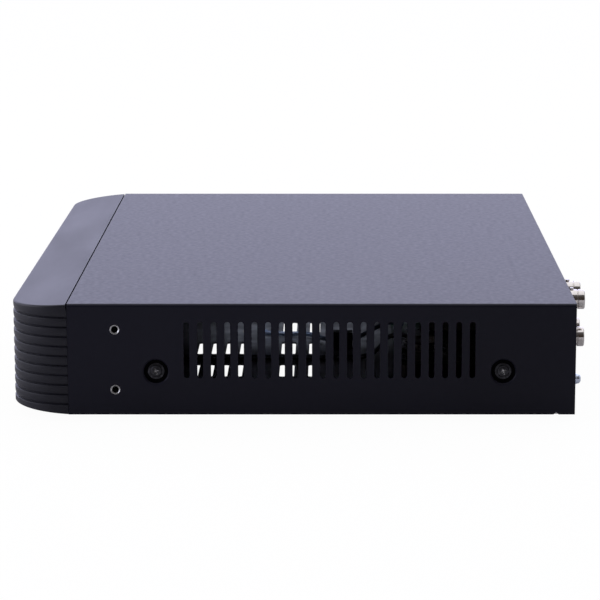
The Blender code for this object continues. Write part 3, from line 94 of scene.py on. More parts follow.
class Finish:
    """A Principled material and the few nodes that vary its colour, roughness and surface."""

    def __init__(self, name, metallic=0.0, ior=1.45, **constants):
        self.material = bpy.data.materials.new(name)
        self.material.use_nodes = True
        self.tree = self.material.node_tree
        self.shader = self.tree.nodes["Principled BSDF"]
        self.shader.inputs["Metallic"].default_value = metallic
        self.shader.inputs["IOR"].default_value = ior
        for key, value in constants.items():
            self.shader.inputs[key.replace("_", " ")].default_value = value
        self.place = self.tree.nodes.new("ShaderNodeTexCoord").outputs["Object"]
        self.last_bump = None

    def noise(self, scale, detail=3.0, roughness=0.5, stretch=None):
        node = self.tree.nodes.new("ShaderNodeTexNoise")
        node.inputs["Scale"].default_value = scale
        node.inputs["Detail"].default_value = detail
        node.inputs["Roughness"].default_value = roughness
        self.tree.links.new(self.stretched(stretch), node.inputs["Vector"])
        return node.outputs["Fac"]

    def cells(self, scale, feature="F1"):
        node = self.tree.nodes.new("ShaderNodeTexVoronoi")
        node.feature = feature
        node.inputs["Scale"].default_value = scale
        self.tree.links.new(self.place, node.inputs["Vector"])
        return node.outputs["Color"] if feature == "F1" else node.outputs["Distance"]

    def stripes(self, scale, direction, distortion=0.0):
        node = self.tree.nodes.new("ShaderNodeTexWave")
        node.bands_direction = direction
        node.inputs["Scale"].default_value = scale
        node.inputs["Distortion"].default_value = distortion
        self.tree.links.new(self.place, node.inputs["Vector"])
        return node.outputs["Fac"]

    def stretched(self, stretch):
        if stretch is None:
            return self.place
        node = self.tree.nodes.new("ShaderNodeMapping")
        node.inputs["Scale"].default_value = stretch
        self.tree.links.new(self.place, node.inputs["Vector"])
        return node.outputs["Vector"]

    def ramp(self, source, stops):
        node = self.tree.nodes.new("ShaderNodeValToRGB")
        while len(node.color_ramp.elements) < len(stops):
            node.color_ramp.elements.new(0.5)
        for element, (position, colour) in zip(node.color_ramp.elements, stops):
            element.position = position
            element.color = (*colour, 1.0)
        self.tree.links.new(source, node.inputs["Fac"])
        return node.outputs["Color"]

    def colour(self, source, stops):
        self.tree.links.new(self.ramp(source, stops), self.shader.inputs["Base Color"])
        return self

    def rough(self, source, low, high):
        node = self.tree.nodes.new("ShaderNodeMapRange")
        node.inputs["From Min"].default_value = 0.3
        node.inputs["From Max"].default_value = 0.7
        node.inputs["To Min"].default_value = low
        node.inputs["To Max"].default_value = high
        self.tree.links.new(source, node.inputs["Value"])
        self.tree.links.new(node.outputs["Result"], self.shader.inputs["Roughness"])
        return self

    def bump(self, source, strength, height):
        node = self.tree.nodes.new("ShaderNodeBump")
        node.inputs["Strength"].default_value = strength
        node.inputs["Distance"].default_value = height
        self.tree.links.new(source, node.inputs["Height"])
        if self.last_bump:
            self.tree.links.new(self.last_bump, node.inputs["Normal"])
        self.tree.links.new(node.outputs["Normal"], self.shader.inputs["Normal"])
        self.last_bump = node.outputs["Normal"]
        return self


def grey(value, blue=1.0, red=1.0):
    return (value * red, value, value * blue)


def two_tone(first, second):
    return [(0.35, first), (0.65, second)]


def painted_steel():
    """Satin black powder coat: a fine texture, faint cloudiness and a cool sheen."""
    finish = Finish("black_powder_coat", ior=1.29)
    finish.colour(finish.noise(9.0, 4.0), two_tone(grey(0.0072, 2.1), grey(0.0092, 2.1)))
    finish.rough(finish.noise(420.0, 3.0), 0.36, 0.43)
    return finish.bump(finish.noise(1700.0, 2.0), 0.12, 0.04 * MM).material


def dimple_painted_shade():
    """Painted shade: a near-black, dull copy of the powder coat on the dimple floors, darkening them as shadow
    would.
    """
    finish = Finish("painted_dimple_shade", ior=1.12)
    finish.colour(finish.noise(300.0, 3.0), two_tone(grey(0.0018, 1.4), grey(0.0032, 1.4)))
    finish.rough(finish.noise(420.0, 3.0), 0.60, 0.75)
    return finish.bump(finish.noise(1700.0, 2.0), 0.12, 0.04 * MM).material


def bezel_plastic():
    """Black moulded plastic with a fine spark texture and faint flow marks."""
    finish = Finish("black_bezel_plastic", ior=1.38)
    finish.colour(finish.noise(14.0, 3.0), two_tone(grey(0.0078, 1.75), grey(0.0100, 1.75)))
    finish.rough(finish.noise(60.0, 4.0, stretch=(0.25, 1.0, 1.0)), 0.40, 0.45)
    return finish.bump(finish.noise(2100.0, 2.0), 0.10, 0.04 * MM).material


def moulded_black():
    """Plain black moulded plastic of the socket blocks, the rocker and the fan."""
    finish = Finish("black_moulded_plastic", ior=1.45)
    finish.colour(finish.noise(90.0, 3.0), two_tone(grey(0.010), grey(0.017)))
    finish.rough(finish.noise(300.0, 3.0), 0.36, 0.52)
    return finish.bump(finish.noise(1800.0, 2.0), 0.14, 0.04 * MM).material


def screw_black():
    """Black oxide on the side screws, with bright specks where the driver has rubbed."""
    finish = Finish("black_oxide_steel", metallic=0.6)
    finish.colour(finish.noise(700.0, 4.0), [(0.50, grey(0.035, 1.15)), (0.72, grey(0.08, 1.15))])
    finish.rough(finish.noise(900.0, 3.0), 0.30, 0.46)
    return finish.bump(finish.noise(1600.0, 2.0), 0.12, 0.03 * MM).material


def galvanised_sheet():
    """Bare galvanised sheet: soft spangle and the faint lines of rolling."""
    finish = Finish("galvanised_sheet", metallic=1.0)
    finish.colour(finish.cells(230.0), two_tone(grey(0.39, 1.06), grey(0.45, 1.06)))
    finish.rough(finish.cells(230.0), 0.33, 0.41)
    finish.bump(finish.noise(900.0, 2.0, stretch=(1.0, 0.05, 1.0)), 0.10, 0.02 * MM)
    return finish.bump(finish.cells(230.0), 0.03, 0.03 * MM).material


def nickel_plate():
    """Bright nickel plate with the fine rings of turning and a little tarnish."""
    finish = Finish("bright_nickel_plate", metallic=1.0)
    finish.colour(finish.noise(260.0, 4.0), two_tone((0.66, 0.62, 0.58), (0.74, 0.70, 0.66)))
    finish.rough(finish.noise(800.0, 3.0), 0.10, 0.17)
    return finish.bump(finish.stripes(2600.0, "Y", 0.6), 0.05, 0.01 * MM).material


def zinc_plate():
    """Blue passivated zinc plate."""
    finish = Finish("blue_zinc_plate", metallic=1.0)
    finish.colour(finish.noise(420.0, 3.0), two_tone((0.56, 0.63, 0.76), (0.68, 0.74, 0.84)))
    finish.rough(finish.noise(900.0, 3.0), 0.18, 0.30)
    return finish.bump(finish.noise(1200.0, 2.0), 0.10, 0.02 * MM).material


def bare_steel():
    """Raw cut steel of the tapped bracket holes."""
    finish = Finish("cut_steel", metallic=1.0)
    finish.colour(finish.noise(900.0, 3.0), two_tone(grey(0.52), grey(0.72)))
    finish.rough(finish.noise(1500.0, 3.0), 0.22, 0.36)
    return finish.bump(finish.noise(2400.0, 2.0), 0.15, 0.02 * MM).material


def worn_steel():
    """Dark steel rubbed bare by a driver."""
    finish = Finish("worn_steel", metallic=0.8)
    finish.colour(finish.noise(1100.0, 3.0), two_tone(grey(0.28), grey(0.55)))
    finish.rough(finish.noise(1500.0, 3.0), 0.34, 0.50)
    return finish.bump(finish.noise(2400.0, 2.0), 0.15, 0.02 * MM).material


def gold_contact():
    finish = Finish("gold_contact", metallic=1.0)
    finish.colour(finish.noise(900.0, 2.0), two_tone((0.80, 0.55, 0.22), (0.90, 0.66, 0.30)))
    finish.rough(finish.noise(1200.0, 2.0), 0.16, 0.26)
    return finish.bump(finish.noise(2600.0, 2.0), 0.06, 0.01 * MM).material


def soft_rubber():
    finish = Finish("black_rubber", ior=1.4)
    finish.colour(finish.noise(120.0, 4.0), two_tone(grey(0.012), grey(0.024)))
    finish.rough(finish.noise(400.0, 3.0), 0.66, 0.84)
    return finish.bump(finish.noise(1400.0, 3.0), 0.25, 0.05 * MM).material


def board_laminate():
    """Green solder mask over tracks, with the weave of the glass under it."""
    finish = Finish("board_laminate", ior=1.5)
    tracks = finish.cells(240.0, "DISTANCE_TO_EDGE")
    finish.colour(tracks, [(0.03, (0.012, 0.085, 0.036)), (0.06, (0.006, 0.050, 0.022))])
    finish.rough(finish.noise(300.0, 2.0), 0.26, 0.40)
    finish.bump(tracks, 0.15, 0.03 * MM)
    return finish.bump(finish.stripes(900.0, "X"), 0.05, 0.01 * MM).material


def chip_epoxy():
    finish = Finish("chip_epoxy", ior=1.5)
    finish.colour(finish.noise(500.0, 3.0), two_tone(grey(0.014), grey(0.024)))
    finish.rough(finish.noise(1200.0, 3.0), 0.45, 0.62)
    return finish.bump(finish.noise(3000.0, 2.0), 0.20, 0.02 * MM).material


def satin_aluminium():
    finish = Finish("satin_aluminium", metallic=1.0)
    finish.colour(finish.noise(80.0, 3.0), two_tone(grey(0.66, 1.03), grey(0.76, 1.03)))
    finish.rough(finish.noise(500.0, 3.0, stretch=(0.05, 1.0, 1.0)), 0.24, 0.38)
    return finish.bump(finish.noise(900.0, 2.0, stretch=(0.04, 1.0, 1.0)), 0.10, 0.01 * MM).material


def cast_aluminium():
    finish = Finish("cast_aluminium", metallic=1.0)
    finish.colour(finish.noise(60.0, 4.0), two_tone(grey(0.42, 1.03), grey(0.54, 1.03)))
    finish.rough(finish.noise(260.0, 4.0), 0.42, 0.60)
    return finish.bump(finish.noise(700.0, 4.0), 0.30, 0.06 * MM).material


def mirror_disk():
    finish = Finish("polished_disk", metallic=1.0)
    finish.colour(finish.noise(30.0, 2.0), two_tone(grey(0.82, 1.03), grey(0.88, 1.03)))
    finish.rough(finish.noise(90.0, 2.0), 0.03, 0.06)
    return finish.bump(finish.noise(40.0, 2.0), 0.02, 0.01 * MM).material


def lead_sheath():
    """Soft vinyl of the flat leads, ribbed along their length where the wires lie side by side."""
    finish = Finish("lead_sheath", ior=1.45)
    finish.colour(finish.noise(160.0, 3.0), two_tone(grey(0.012), grey(0.022)))
    finish.rough(finish.noise(500.0, 3.0), 0.40, 0.56)
    return finish.bump(finish.stripes(160.0, "X"), 0.5, 0.25 * MM).material


def fan_lead_sheath():
    finish = Finish("grey_lead_sheath", ior=1.45)
    finish.colour(finish.noise(160.0, 3.0), two_tone((0.16, 0.20, 0.30), (0.22, 0.27, 0.38)))
    finish.rough(finish.noise(500.0, 3.0), 0.30, 0.44)
    return finish.bump(finish.noise(900.0, 2.0), 0.12, 0.03 * MM).material


def coloured_plastic(name, first, second):
    finish = Finish(name, ior=1.46)
    finish.colour(finish.noise(120.0, 3.0), two_tone(first, second))
    finish.rough(finish.noise(400.0, 3.0), 0.30, 0.44)
    return finish.bump(finish.noise(1800.0, 2.0), 0.10, 0.03 * MM).material


def smoked_plastic():
    finish = Finish("smoked_window", ior=1.49, Transmission_Weight=0.35, Coat_Weight=0.4)
    finish.colour(finish.noise(40.0, 2.0), two_tone(grey(0.008, 1.2), grey(0.012, 1.2)))
    finish.rough(finish.noise(120.0, 2.0), 0.05, 0.10)
    return finish.bump(finish.noise(60.0, 2.0), 0.03, 0.02 * MM).material


def clear_plastic():
    finish = Finish("clear_guide_plastic", ior=1.49, Transmission_Weight=0.85)
    finish.colour(finish.noise(80.0, 2.0), two_tone((0.72, 0.78, 0.82), (0.80, 0.85, 0.88)))
    finish.rough(finish.noise(200.0, 2.0), 0.08, 0.18)
    return finish.bump(finish.noise(300.0, 2.0), 0.05, 0.02 * MM).material


PAINT = painted_steel()
# Painted shade for the floors of the screw dimples
DIMPLE_PAINTED_SHADE = dimple_painted_shade()
BEZEL_PLASTIC = bezel_plastic()
BLACK = moulded_black()
SCREW_BLACK = screw_black()
GALVANISED = galvanised_sheet()
NICKEL = nickel_plate()
ZINC = zinc_plate()
CUT_STEEL = bare_steel()
WORN_STEEL = worn_steel()
GOLD = gold_contact()
RUBBER = soft_rubber()
BOARD = board_laminate()
EPOXY = chip_epoxy()
ALUMINIUM = satin_aluminium()
CAST = cast_aluminium()
DISK = mirror_disk()
SHEATH = lead_sheath()
FAN_SHEATH = fan_lead_sheath()
SMOKED = smoked_plastic()
CLEAR = clear_plastic()
WHITE_PLASTIC = coloured_plastic("white_plastic", (0.70, 0.68, 0.62), (0.80, 0.78, 0.73))
RED_PLASTIC = coloured_plastic("red_plastic", (0.42, 0.012, 0.014), (0.52, 0.018, 0.018))
BLUE_PLASTIC = coloured_plastic("blue_plastic", (0.014, 0.050, 0.30), (0.020, 0.070, 0.38))
AMBER_PLASTIC = coloured_plastic("amber_plastic", (0.52, 0.26, 0.04), (0.62, 0.34, 0.06))
GREEN_PLASTIC = coloured_plastic("green_plastic", (0.10, 0.36, 0.08), (0.15, 0.45, 0.11))


# ---------------------------------------------------------------- shapes


def new_piece(name, shape, materials, body="case", replaces=(), sharp=32.0):
    """A smooth-shaded piece from a bmesh, riding on its body."""
    mesh = bpy.data.meshes.new(name)
    bmesh.ops.recalc_face_normals(shape, faces=shape.faces)
    shape.to_mesh(mesh)
    shape.free()
    piece = bpy.data.objects.new(name, mesh)
    bpy.context.scene.collection.objects.link(piece)
    for material in materials:
        mesh.materials.append(material)
    mesh.shade_smooth()
    mesh.set_sharp_from_angle(angle=math.radians(sharp))
    if body:
        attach(piece, body)
        if replaces:
            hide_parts(*replaces)
    return piece


def weighted(piece):
    """Keeps large flat faces flat beside narrow rounded ones."""
    modifier = piece.modifiers.new("flat_faces_stay_flat", "WEIGHTED_NORMAL")
    modifier.keep_sharp = True
    return piece


def rounded_edges(shape, width, segments=2, angle=30.0):
    """Rounds every edge of a bmesh that is sharper than the angle."""
    edges = [
        e for e in shape.edges
        if len(e.link_faces) == 2 and e.calc_face_angle(0.0) > math.radians(angle)
    ]
    bmesh.ops.bevel(
        shape, geom=edges, offset=width, segments=segments, affect="EDGES", profile=0.6, clamp_overlap=True
    )


def spoiled(shape, plain):
    """Whether rounding has pushed a thin part out of its own size, or opened it."""
    def box(solid):
        return [f(v.co[i] for v in solid.verts) for f in (min, max) for i in range(3)]

    grown = max(abs(a - b) for a, b in zip(box(shape), box(plain)))
    volume = plain.calc_volume()
    changed = abs(shape.calc_volume() - volume) > 0.05 * abs(volume)
    crossed = any(len(e.link_faces) != 2 for e in shape.edges)
    return grown > 0.03 * MM or changed or crossed


def refined(node, material, width=0.25 * MM, segments=2, body="case", name=None):
    """A copy of a CAD node with welded faces and rounded edges, which stands for it."""
    shape = bmesh.new()
    shape.from_mesh(NODES[node].data)
    bmesh.ops.remove_doubles(shape, verts=shape.verts, dist=0.002 * MM)
    plain = shape.copy()
    bmesh.ops.dissolve_limit(
        shape, angle_limit=math.radians(1.0), verts=shape.verts, edges=shape.edges, use_dissolve_boundaries=False
    )
    rounded_edges(shape, width, segments)
    if spoiled(shape, plain):
        shape.free()
        shape = plain
    else:
        plain.free()
    for face in shape.faces:
        face.material_index = 0
    return weighted(new_piece(name or node + "_piece", shape, [material], body, [node]))


def brick(backs, inwards, ups, width=0.2 * MM, segments=2):
    """A bmesh block with rounded edges."""
    low = at(backs[0], inwards[1], ups[0])
    high = at(backs[1], inwards[0], ups[1])
    shape = bmesh.new()
    bmesh.ops.create_cube(shape, size=1.0)
    bmesh.ops.scale(shape, vec=high - low, verts=shape.verts)
    bmesh.ops.translate(shape, vec=(low + high) / 2, verts=shape.verts)
    if width:
        rounded_edges(shape, width, segments)
    return shape


def merged(shapes):
    """One bmesh that holds several."""
    whole = bmesh.new()
    for shape in shapes:
        mesh = bpy.data.meshes.new("merging")
        shape.to_mesh(mesh)
        shape.free()
        whole.from_mesh(mesh)
        bpy.data.meshes.remove(mesh)
    return whole


TURNS = {
    "+X": Matrix.Rotation(math.pi / 2, 4, "Y"),
    "-X": Matrix.Rotation(-math.pi / 2, 4, "Y"),
    "+Y": Matrix.Rotation(-math.pi / 2, 4, "X"),
    "-Y": Matrix.Rotation(math.pi / 2, 4, "X"),
    "+Z": Matrix(),
    "-Z": Matrix.Rotation(math.pi, 4, "X"),
}


def lathe(profile, centre, axis, segments=64):
    """A turned bmesh from (radius, height, material index) points in millimetres, from the top down."""
    shape = bmesh.new()
    rings = []
    for radius, height, _ in profile:
        if radius < 1e-6:
            rings.append([shape.verts.new((0, 0, height * MM))] * segments)
            continue
        angles = [2 * math.pi * i / segments for i in range(segments)]
        ring = [Vector((radius * math.cos(a), radius * math.sin(a), height)) * MM for a in angles]
        rings.append([shape.verts.new(point) for point in ring])
    for (upper, lower), (_, _, index) in zip(zip(rings, rings[1:]), profile[1:]):
        for i in range(segments):
            corners = dict.fromkeys((upper[i - 1], upper[i], lower[i], lower[i - 1]))
            if len(corners) > 2:
                shape.faces.new(list(corners)).material_index = index
    bmesh.ops.transform(shape, matrix=Matrix.Translation(centre) @ TURNS[axis], verts=shape.verts)
    return shape


def rounded_profile(points, radius=0.12, steps=3):
    """The profile with each inner corner replaced by a short arc of about that radius."""
    found = [points[0]]
    for before, corner, after in zip(points, points[1:], points[2:]):
        here = Vector(corner[:2])
        back = Vector(before[:2]) - here
        ahead = Vector(after[:2]) - here
        reach = min(radius, 0.45 * back.length, 0.45 * ahead.length)
        start, end = here + back.normalized() * reach, here + ahead.normalized() * reach
        for i in range(steps + 1):
            t = i / steps
            point = (1 - t) ** 2 * start + 2 * t * (1 - t) * here + t * t * end
            found.append((point.x, point.y, corner[2]))
    return [*found, points[-1]]


def flat_solid(loops, thickness, matrix, material_index=0):
    """A bmesh plate from outlines, each inner loop a hole, thickened about their plane."""
    curve = bpy.data.curves.new("outline", "CURVE")
    curve.dimensions = "2D"
    curve.fill_mode = "BOTH"
    curve.extrude = thickness / 2
    for loop in loops:
        spline = curve.splines.new("POLY")
        spline.points.add(len(loop) - 1)
        for point, (x, y) in zip(spline.points, loop):
            point.co = (x, y, 0, 1)
        spline.use_cyclic_u = True
    outline = bpy.data.objects.new("outline", curve)
    bpy.context.scene.collection.objects.link(outline)
    graph = bpy.context.evaluated_depsgraph_get()
    solid = bpy.data.meshes.new_from_object(outline.evaluated_get(graph))
    shape = bmesh.new()
    shape.from_mesh(solid)
    bmesh.ops.remove_doubles(shape, verts=shape.verts, dist=0.001 * MM)
    bmesh.ops.transform(shape, matrix=matrix, verts=shape.verts)
    bmesh.ops.recalc_face_normals(shape, faces=shape.faces)
    for face in shape.faces:
        face.material_index = material_index
    bpy.data.objects.remove(outline, do_unlink=True)
    bpy.data.curves.remove(curve)
    bpy.data.meshes.remove(solid)
    return shape


def facing_side(inward):
    """Outlines given as (back, up) stand along the case at this distance in."""
    turn = Matrix(((0, 0, 1, 0), (1, 0, 0, 0), (0, 1, 0, 0), (0, 0, 0, 1)))
    return Matrix.Translation(at(0, inward, 0)) @ turn


def facing_rear(back):
    """Outlines given as (inward, up) stand across the case at this distance back."""
    turn = Matrix(((-1, 0, 0, 0), (0, 0, 1, 0), (0, 1, 0, 0), (0, 0, 0, 1)))
    return Matrix.Translation(at(back, 0, 0)) @ turn


def flat_at(up):
    """Outlines given as (back, inward) lie level at this height."""
    turn = Matrix(((0, -1, 0, 0), (1, 0, 0, 0), (0, 0, 1, 0), (0, 0, 0, 1)))
    return Matrix.Translation(at(0, 0, up)) @ turn


def rectangle(first, second):
    return [(first[0], second[0]), (first[1], second[0]), (first[1], second[1]), (first[0], second[1])]


def circle(middle, radius, steps=40):
    angles = [2 * math.pi * i / steps for i in range(steps)]
    return [(middle[0] + radius * math.cos(a), middle[1] + radius * math.sin(a)) for a in angles]


def stadium(first, second, steps=12):
    radius = (first[1] - first[0]) / 2
    middle = (first[0] + first[1]) / 2
    ends = ((second[1] - radius, 0.0), (second[0] + radius, math.pi))
    return [
        (middle + radius * math.cos(a), end + radius * math.sin(a))
        for end, start in ends
        for a in [start + math.pi * i / steps for i in range(steps + 1)]
    ]


def rounded_rectangle(first, second, radius, steps=5):
    corners = (
        (first[1] - radius, second[1] - radius, 0.0),
        (first[0] + radius, second[1] - radius, 0.5 * math.pi),
        (first[0] + radius, second[0] + radius, math.pi),
        (first[1] - radius, second[0] + radius, 1.5 * math.pi),
    )
    return [
        (x + radius * math.cos(a), y + radius * math.sin(a))
        for x, y, start in corners
        for a in [start + 0.5 * math.pi * i / steps for i in range(steps + 1)]
    ]


def around(middle, half):
    return (middle - half, middle + half)


def boolean(shape, others):
    """A bmesh after EXACT Booleans with (operation, bmesh) pairs."""
    made = []

    def holder(source):
        mesh = bpy.data.meshes.new("boolean")
        bmesh.ops.recalc_face_normals(source, faces=source.faces)
        source.to_mesh(mesh)
        source.free()
        for _ in range(3):
            mesh.materials.append(None)
        made.append(bpy.data.objects.new("boolean", mesh))
        bpy.context.scene.collection.objects.link(made[-1])
        return made[-1]

    base = holder(shape)
    for operation, other in others:
        modifier = base.modifiers.new("step", "BOOLEAN")
        modifier.operation = operation
        modifier.object = holder(other)
        modifier.solver = "EXACT"
    graph = bpy.context.evaluated_depsgraph_get()
    solid = bpy.data.meshes.new_from_object(base.evaluated_get(graph))
    result = bmesh.new()
    result.from_mesh(solid)
    bpy.data.meshes.remove(solid)
    for obj in made:
        mesh = obj.data
        bpy.data.objects.remove(obj, do_unlink=True)
        bpy.data.meshes.remove(mesh)
    return result


# ---------------------------------------------------------------- cover


def bent_sheet():
    """The folded cover as a closed sheet: top and two sides."""
    shape = bmesh.new()
    bmesh.ops.create_cube(shape, size=1.0)
    bmesh.ops.scale(shape, vec=(WIDTH, DEPTH, HEIGHT), verts=shape.verts)
    bmesh.ops.translate(shape, vec=at(DEPTH / 2, WIDTH / 2, HEIGHT / 2), verts=shape.verts)
    open_faces = [f for f in shape.faces if abs(f.normal.y) > 0.5 or f.normal.z < -0.5]
    bmesh.ops.delete(shape, geom=open_faces, context="FACES_ONLY")
    folds = [e for e in shape.edges if len(e.link_faces) == 2]
    bmesh.ops.bevel(shape, geom=folds, offset=1.5 * MM, segments=8, affect="EDGES", profile=0.5)
    mesh = bpy.data.meshes.new("sheet")
    shape.to_mesh(mesh)
    shape.free()
    sheet = bpy.data.objects.new("sheet", mesh)
    bpy.context.scene.collection.objects.link(sheet)
    solidify = sheet.modifiers.new("thickness", "SOLIDIFY")
    solidify.thickness = SHEET
    solidify.offset = -1
    solidify.use_even_offset = True
    graph = bpy.context.evaluated_depsgraph_get()
    solid = bpy.data.meshes.new_from_object(sheet.evaluated_get(graph))
    result = bmesh.new()
    result.from_mesh(solid)
    for data in (solid, mesh):
        if data == mesh:
            bpy.data.objects.remove(sheet, do_unlink=True)
        bpy.data.meshes.remove(data)
    return result


def cover():
    """The painted cover with its vents, bracket holes, screw dimples with painted shade on their floors, and small
    foot notch.
    """
    loops = []
    for i in range(SLOT_COUNT):
        middle = FIRST_SLOT + i * SLOT_PITCH
        loops.append(stadium(around(middle, SLOT_WIDTH / 2), SLOT_UPS))
    loops += [circle((BRACKET_BACK, up), 2.22 * MM) for up in BRACKET_UPS]
    notch_back = DEPTH - 8.6 * MM
    loops.append([(notch_back - 2.2 * MM, -1 * MM), (notch_back + 2.2 * MM, -1 * MM), (notch_back, 1.2 * MM)])
    steps = []
    cone = [
        (0, 0.6, 0), (DIMPLE_RADIUS / MM + 1.15, 0.6, 0), (DIMPLE_RADIUS / MM + 0.85, 0.0, 0),
        (DIMPLE_RADIUS / MM + 0.42, -0.10, 0), (DIMPLE_RADIUS / MM + 0.10, -0.34, 0),
        (DIMPLE_RADIUS / MM - 0.14, -0.75, 0),
        # Material 1 on the deepest rings: the painted shade on the dimple floor
        (DIMPLE_RADIUS / MM - 0.35, -DIMPLE_DEPTH / MM + 0.3, 1),
        (DIMPLE_RADIUS / MM - 0.65, -DIMPLE_DEPTH / MM, 1), (0, -DIMPLE_DEPTH / MM, 1),
    ]
    cuts = []
    for inward, axis, sign in ((0, "+X", 1), (WIDTH, "-X", -1)):
        for back in SCREW_BACKS:
            boss_middle = at(back, inward + sign * (SHEET + DIMPLE_DEPTH / 2 - 0.2 * MM), SCREW_UP)
            half = DIMPLE_DEPTH / MM / 2
            radius = DIMPLE_RADIUS / MM + 0.9
            boss = lathe([(0, half, 0), (radius, half, 0), (radius, -half, 0), (0, -half, 0)], boss_middle, axis)
            steps.append(("UNION", boss))
            cuts.append(("DIFFERENCE", lathe(cone, at(back, inward, SCREW_UP), axis)))
    steps.append(("DIFFERENCE", flat_solid(loops, WIDTH * 1.1, facing_side(WIDTH / 2))))
    shape = boolean(bent_sheet(), steps + cuts)
    rounded_edges(shape, 0.14 * MM, 2, 48.0)
    # The second material is the painted shade of the dimple floors
    return weighted(new_piece("cover", shape, [PAINT, DIMPLE_PAINTED_SHADE], replaces=["top_cover"]))


def bracket_inserts():
    """The bare, countersunk and tapped rims of the bracket holes."""
    profile = [(2.2, -0.04, 0), (2.08, -0.01, 0), (1.6, -0.3, 0), (1.55, -0.5, 0)]
    for i in range(5):
        profile += [(1.55, -0.55 - 0.5 * i, 1), (1.7, -0.8 - 0.5 * i, 1), (1.55, -1.05 - 0.5 * i, 1)]
    profile += [(1.7, -3.2, 1), (2.2, -3.2, 1), (2.2, -0.04, 0)]
    for side, inward, axis in (("right", 0, "+X"), ("left", WIDTH, "-X")):
        for level, up in zip(("lower", "upper"), BRACKET_UPS):
            shape = lathe(profile, at(BRACKET_BACK, inward, up), axis)
            new_piece(f"bracket_thread_{level}_{side}", shape, [CUT_STEEL, SCREW_BLACK], sharp=25.0)


# ---------------------------------------------------------------- bezel


def bezel_plan(inset, rear, steps=20):
    """Plan as (back, inward) points, from the right seam round to the left one."""
    points = []
    radius = BEZEL_DEPTH - inset
    for i in range(steps + 1):
        a = 0.5 * math.pi * i / steps
        points.append((-radius * math.sin(a), inset + radius * (1 - math.cos(a))))
    mirrored = [(back, WIDTH - inward) for back, inward in reversed(points)]
    middle = [(-radius, BEZEL_DEPTH + (WIDTH - 2 * BEZEL_DEPTH) * i / 12) for i in range(1, 12)]
    points = points + middle + mirrored
    return [(rear, inset), *[(min(b, rear), w) for b, w in points[1:-1]], (rear, WIDTH - inset)]


LOWER_ROLL = ((0.14, 0.97), (0.30, 0.70), (0.62, 0.46), (1.05, 0.27), (1.6, 0.12), (2.2, 0.04), (2.7, 0.0))


def band_levels():
    """Side view of the ribs as (up, inset, share of the lean), from the bottom edge to the top edge."""
    edge, low_edge = 0.9 * MM, 0.55 * MM
    bottom, top = 0.04 * MM, HEIGHT - SEAM_STEP
    turns = [0.5 * math.pi * i / 5 for i in range(6)]
    levels = [(bottom - CAP_RISE, low_edge + 0.5 * MM, -1.0)]
    levels += [(bottom + low_edge * (1 - math.cos(a)), low_edge * (1 - math.sin(a)), -1.0) for a in turns]
    for i in range(GROOVE_COUNT):
        groove = LOWEST_GROOVE + i * GROOVE_PITCH
        for rise, depth in ((-1.15, 0.0), (-0.85, 0.10), (-0.55, 0.34), (-0.30, 0.66), (-0.12, 0.94), (0.0, 1.0)):
            levels.append((groove + rise * 0.5 * MM, depth * GROOVE_DEPTH, 0.0))
        for rise, depth in LOWER_ROLL:
            levels.append((groove + rise * MM, depth * GROOVE_DEPTH, 0.0))
    levels += [(top - edge * (1 - math.sin(a)), edge * (1 - math.cos(a)), 1.0) for a in turns]
    return [*levels, (top + CAP_RISE, edge + 0.5 * MM, 1.0)]


def ribbed_shell():
    """The bezel's closed outer form: rings of the plan at each level, the outer rings leaning."""
    shape = bmesh.new()
    rings = []
    for up, inset, lean in band_levels():
        ring = []
        for back, inward in bezel_plan(inset, -SEAM_GAP if lean > 0 else -0.12 * MM):
            share = min(1.0, max(0.0, -back / BEZEL_DEPTH))
            shift = -TOP_DROP * share if lean > 0 else BOTTOM_RISE * share if lean < 0 else 0.0
            ring.append(shape.verts.new(at(back, inward, up + shift)))
        rings.append(ring)
    for lower, upper in zip(rings, rings[1:]):
        for i in range(len(lower)):
            shape.faces.new((lower[i - 1], lower[i], upper[i], upper[i - 1]))
    shape.faces.new(rings[0])
    shape.faces.new(rings[-1])
    return shape


def bezel():
    """The ribbed front with its hollow back, the window's opening and the socket's."""
    hollow_plan = bezel_plan(WALL, 5 * MM)
    ups = (WALL + BOTTOM_RISE, HEIGHT - WALL - TOP_DROP)
    hollow = flat_solid([hollow_plan], ups[1] - ups[0], flat_at(sum(ups) / 2))
    window = flat_solid([rounded_rectangle(around(82 * MM, 20 * MM), around(25 * MM, 5 * MM), 1.2 * MM)],
                        20 * MM, facing_rear(-25 * MM))
    socket = flat_solid([rounded_rectangle(around(44 * MM, 7.1 * MM), around(25 * MM, 3.4 * MM), 0.6 * MM)],
                        20 * MM, facing_rear(-25 * MM))
    shape = boolean(ribbed_shell(), [("DIFFERENCE", s) for s in (hollow, window, socket)])
    return weighted(
        new_piece("ribbed_bezel", shape, [BEZEL_PLASTIC], replaces=["front_bezel"], sharp=60.0)
    )


def front_details():
    refined("status_window", SMOKED, 0.5 * MM, 4, name="smoked_window_piece")
    refined("light_guide", CLEAR, 0.2 * MM)
    refined("infrared_receiver", EPOXY, 0.3 * MM)
    refined("front_board", BOARD, 0.1 * MM)
    usb_details("front_usb", "front_usb_socket", 44 * MM, (25 * MM,), -27.2 * MM, -1)
    window_frame = flat_solid(
        [
            rounded_rectangle(around(82 * MM, 20.0 * MM), around(25 * MM, 5.0 * MM), 1.2 * MM),
            rounded_rectangle(around(82 * MM, 19.1 * MM), around(25 * MM, 4.1 * MM), 0.9 * MM),
        ],
        0.8 * MM, facing_rear(-27.1 * MM),
    )
    rounded_edges(window_frame, 0.18 * MM, 2)
    new_piece("window_frame", window_frame, [BLACK])


# ---------------------------------------------------------------- screws, feet


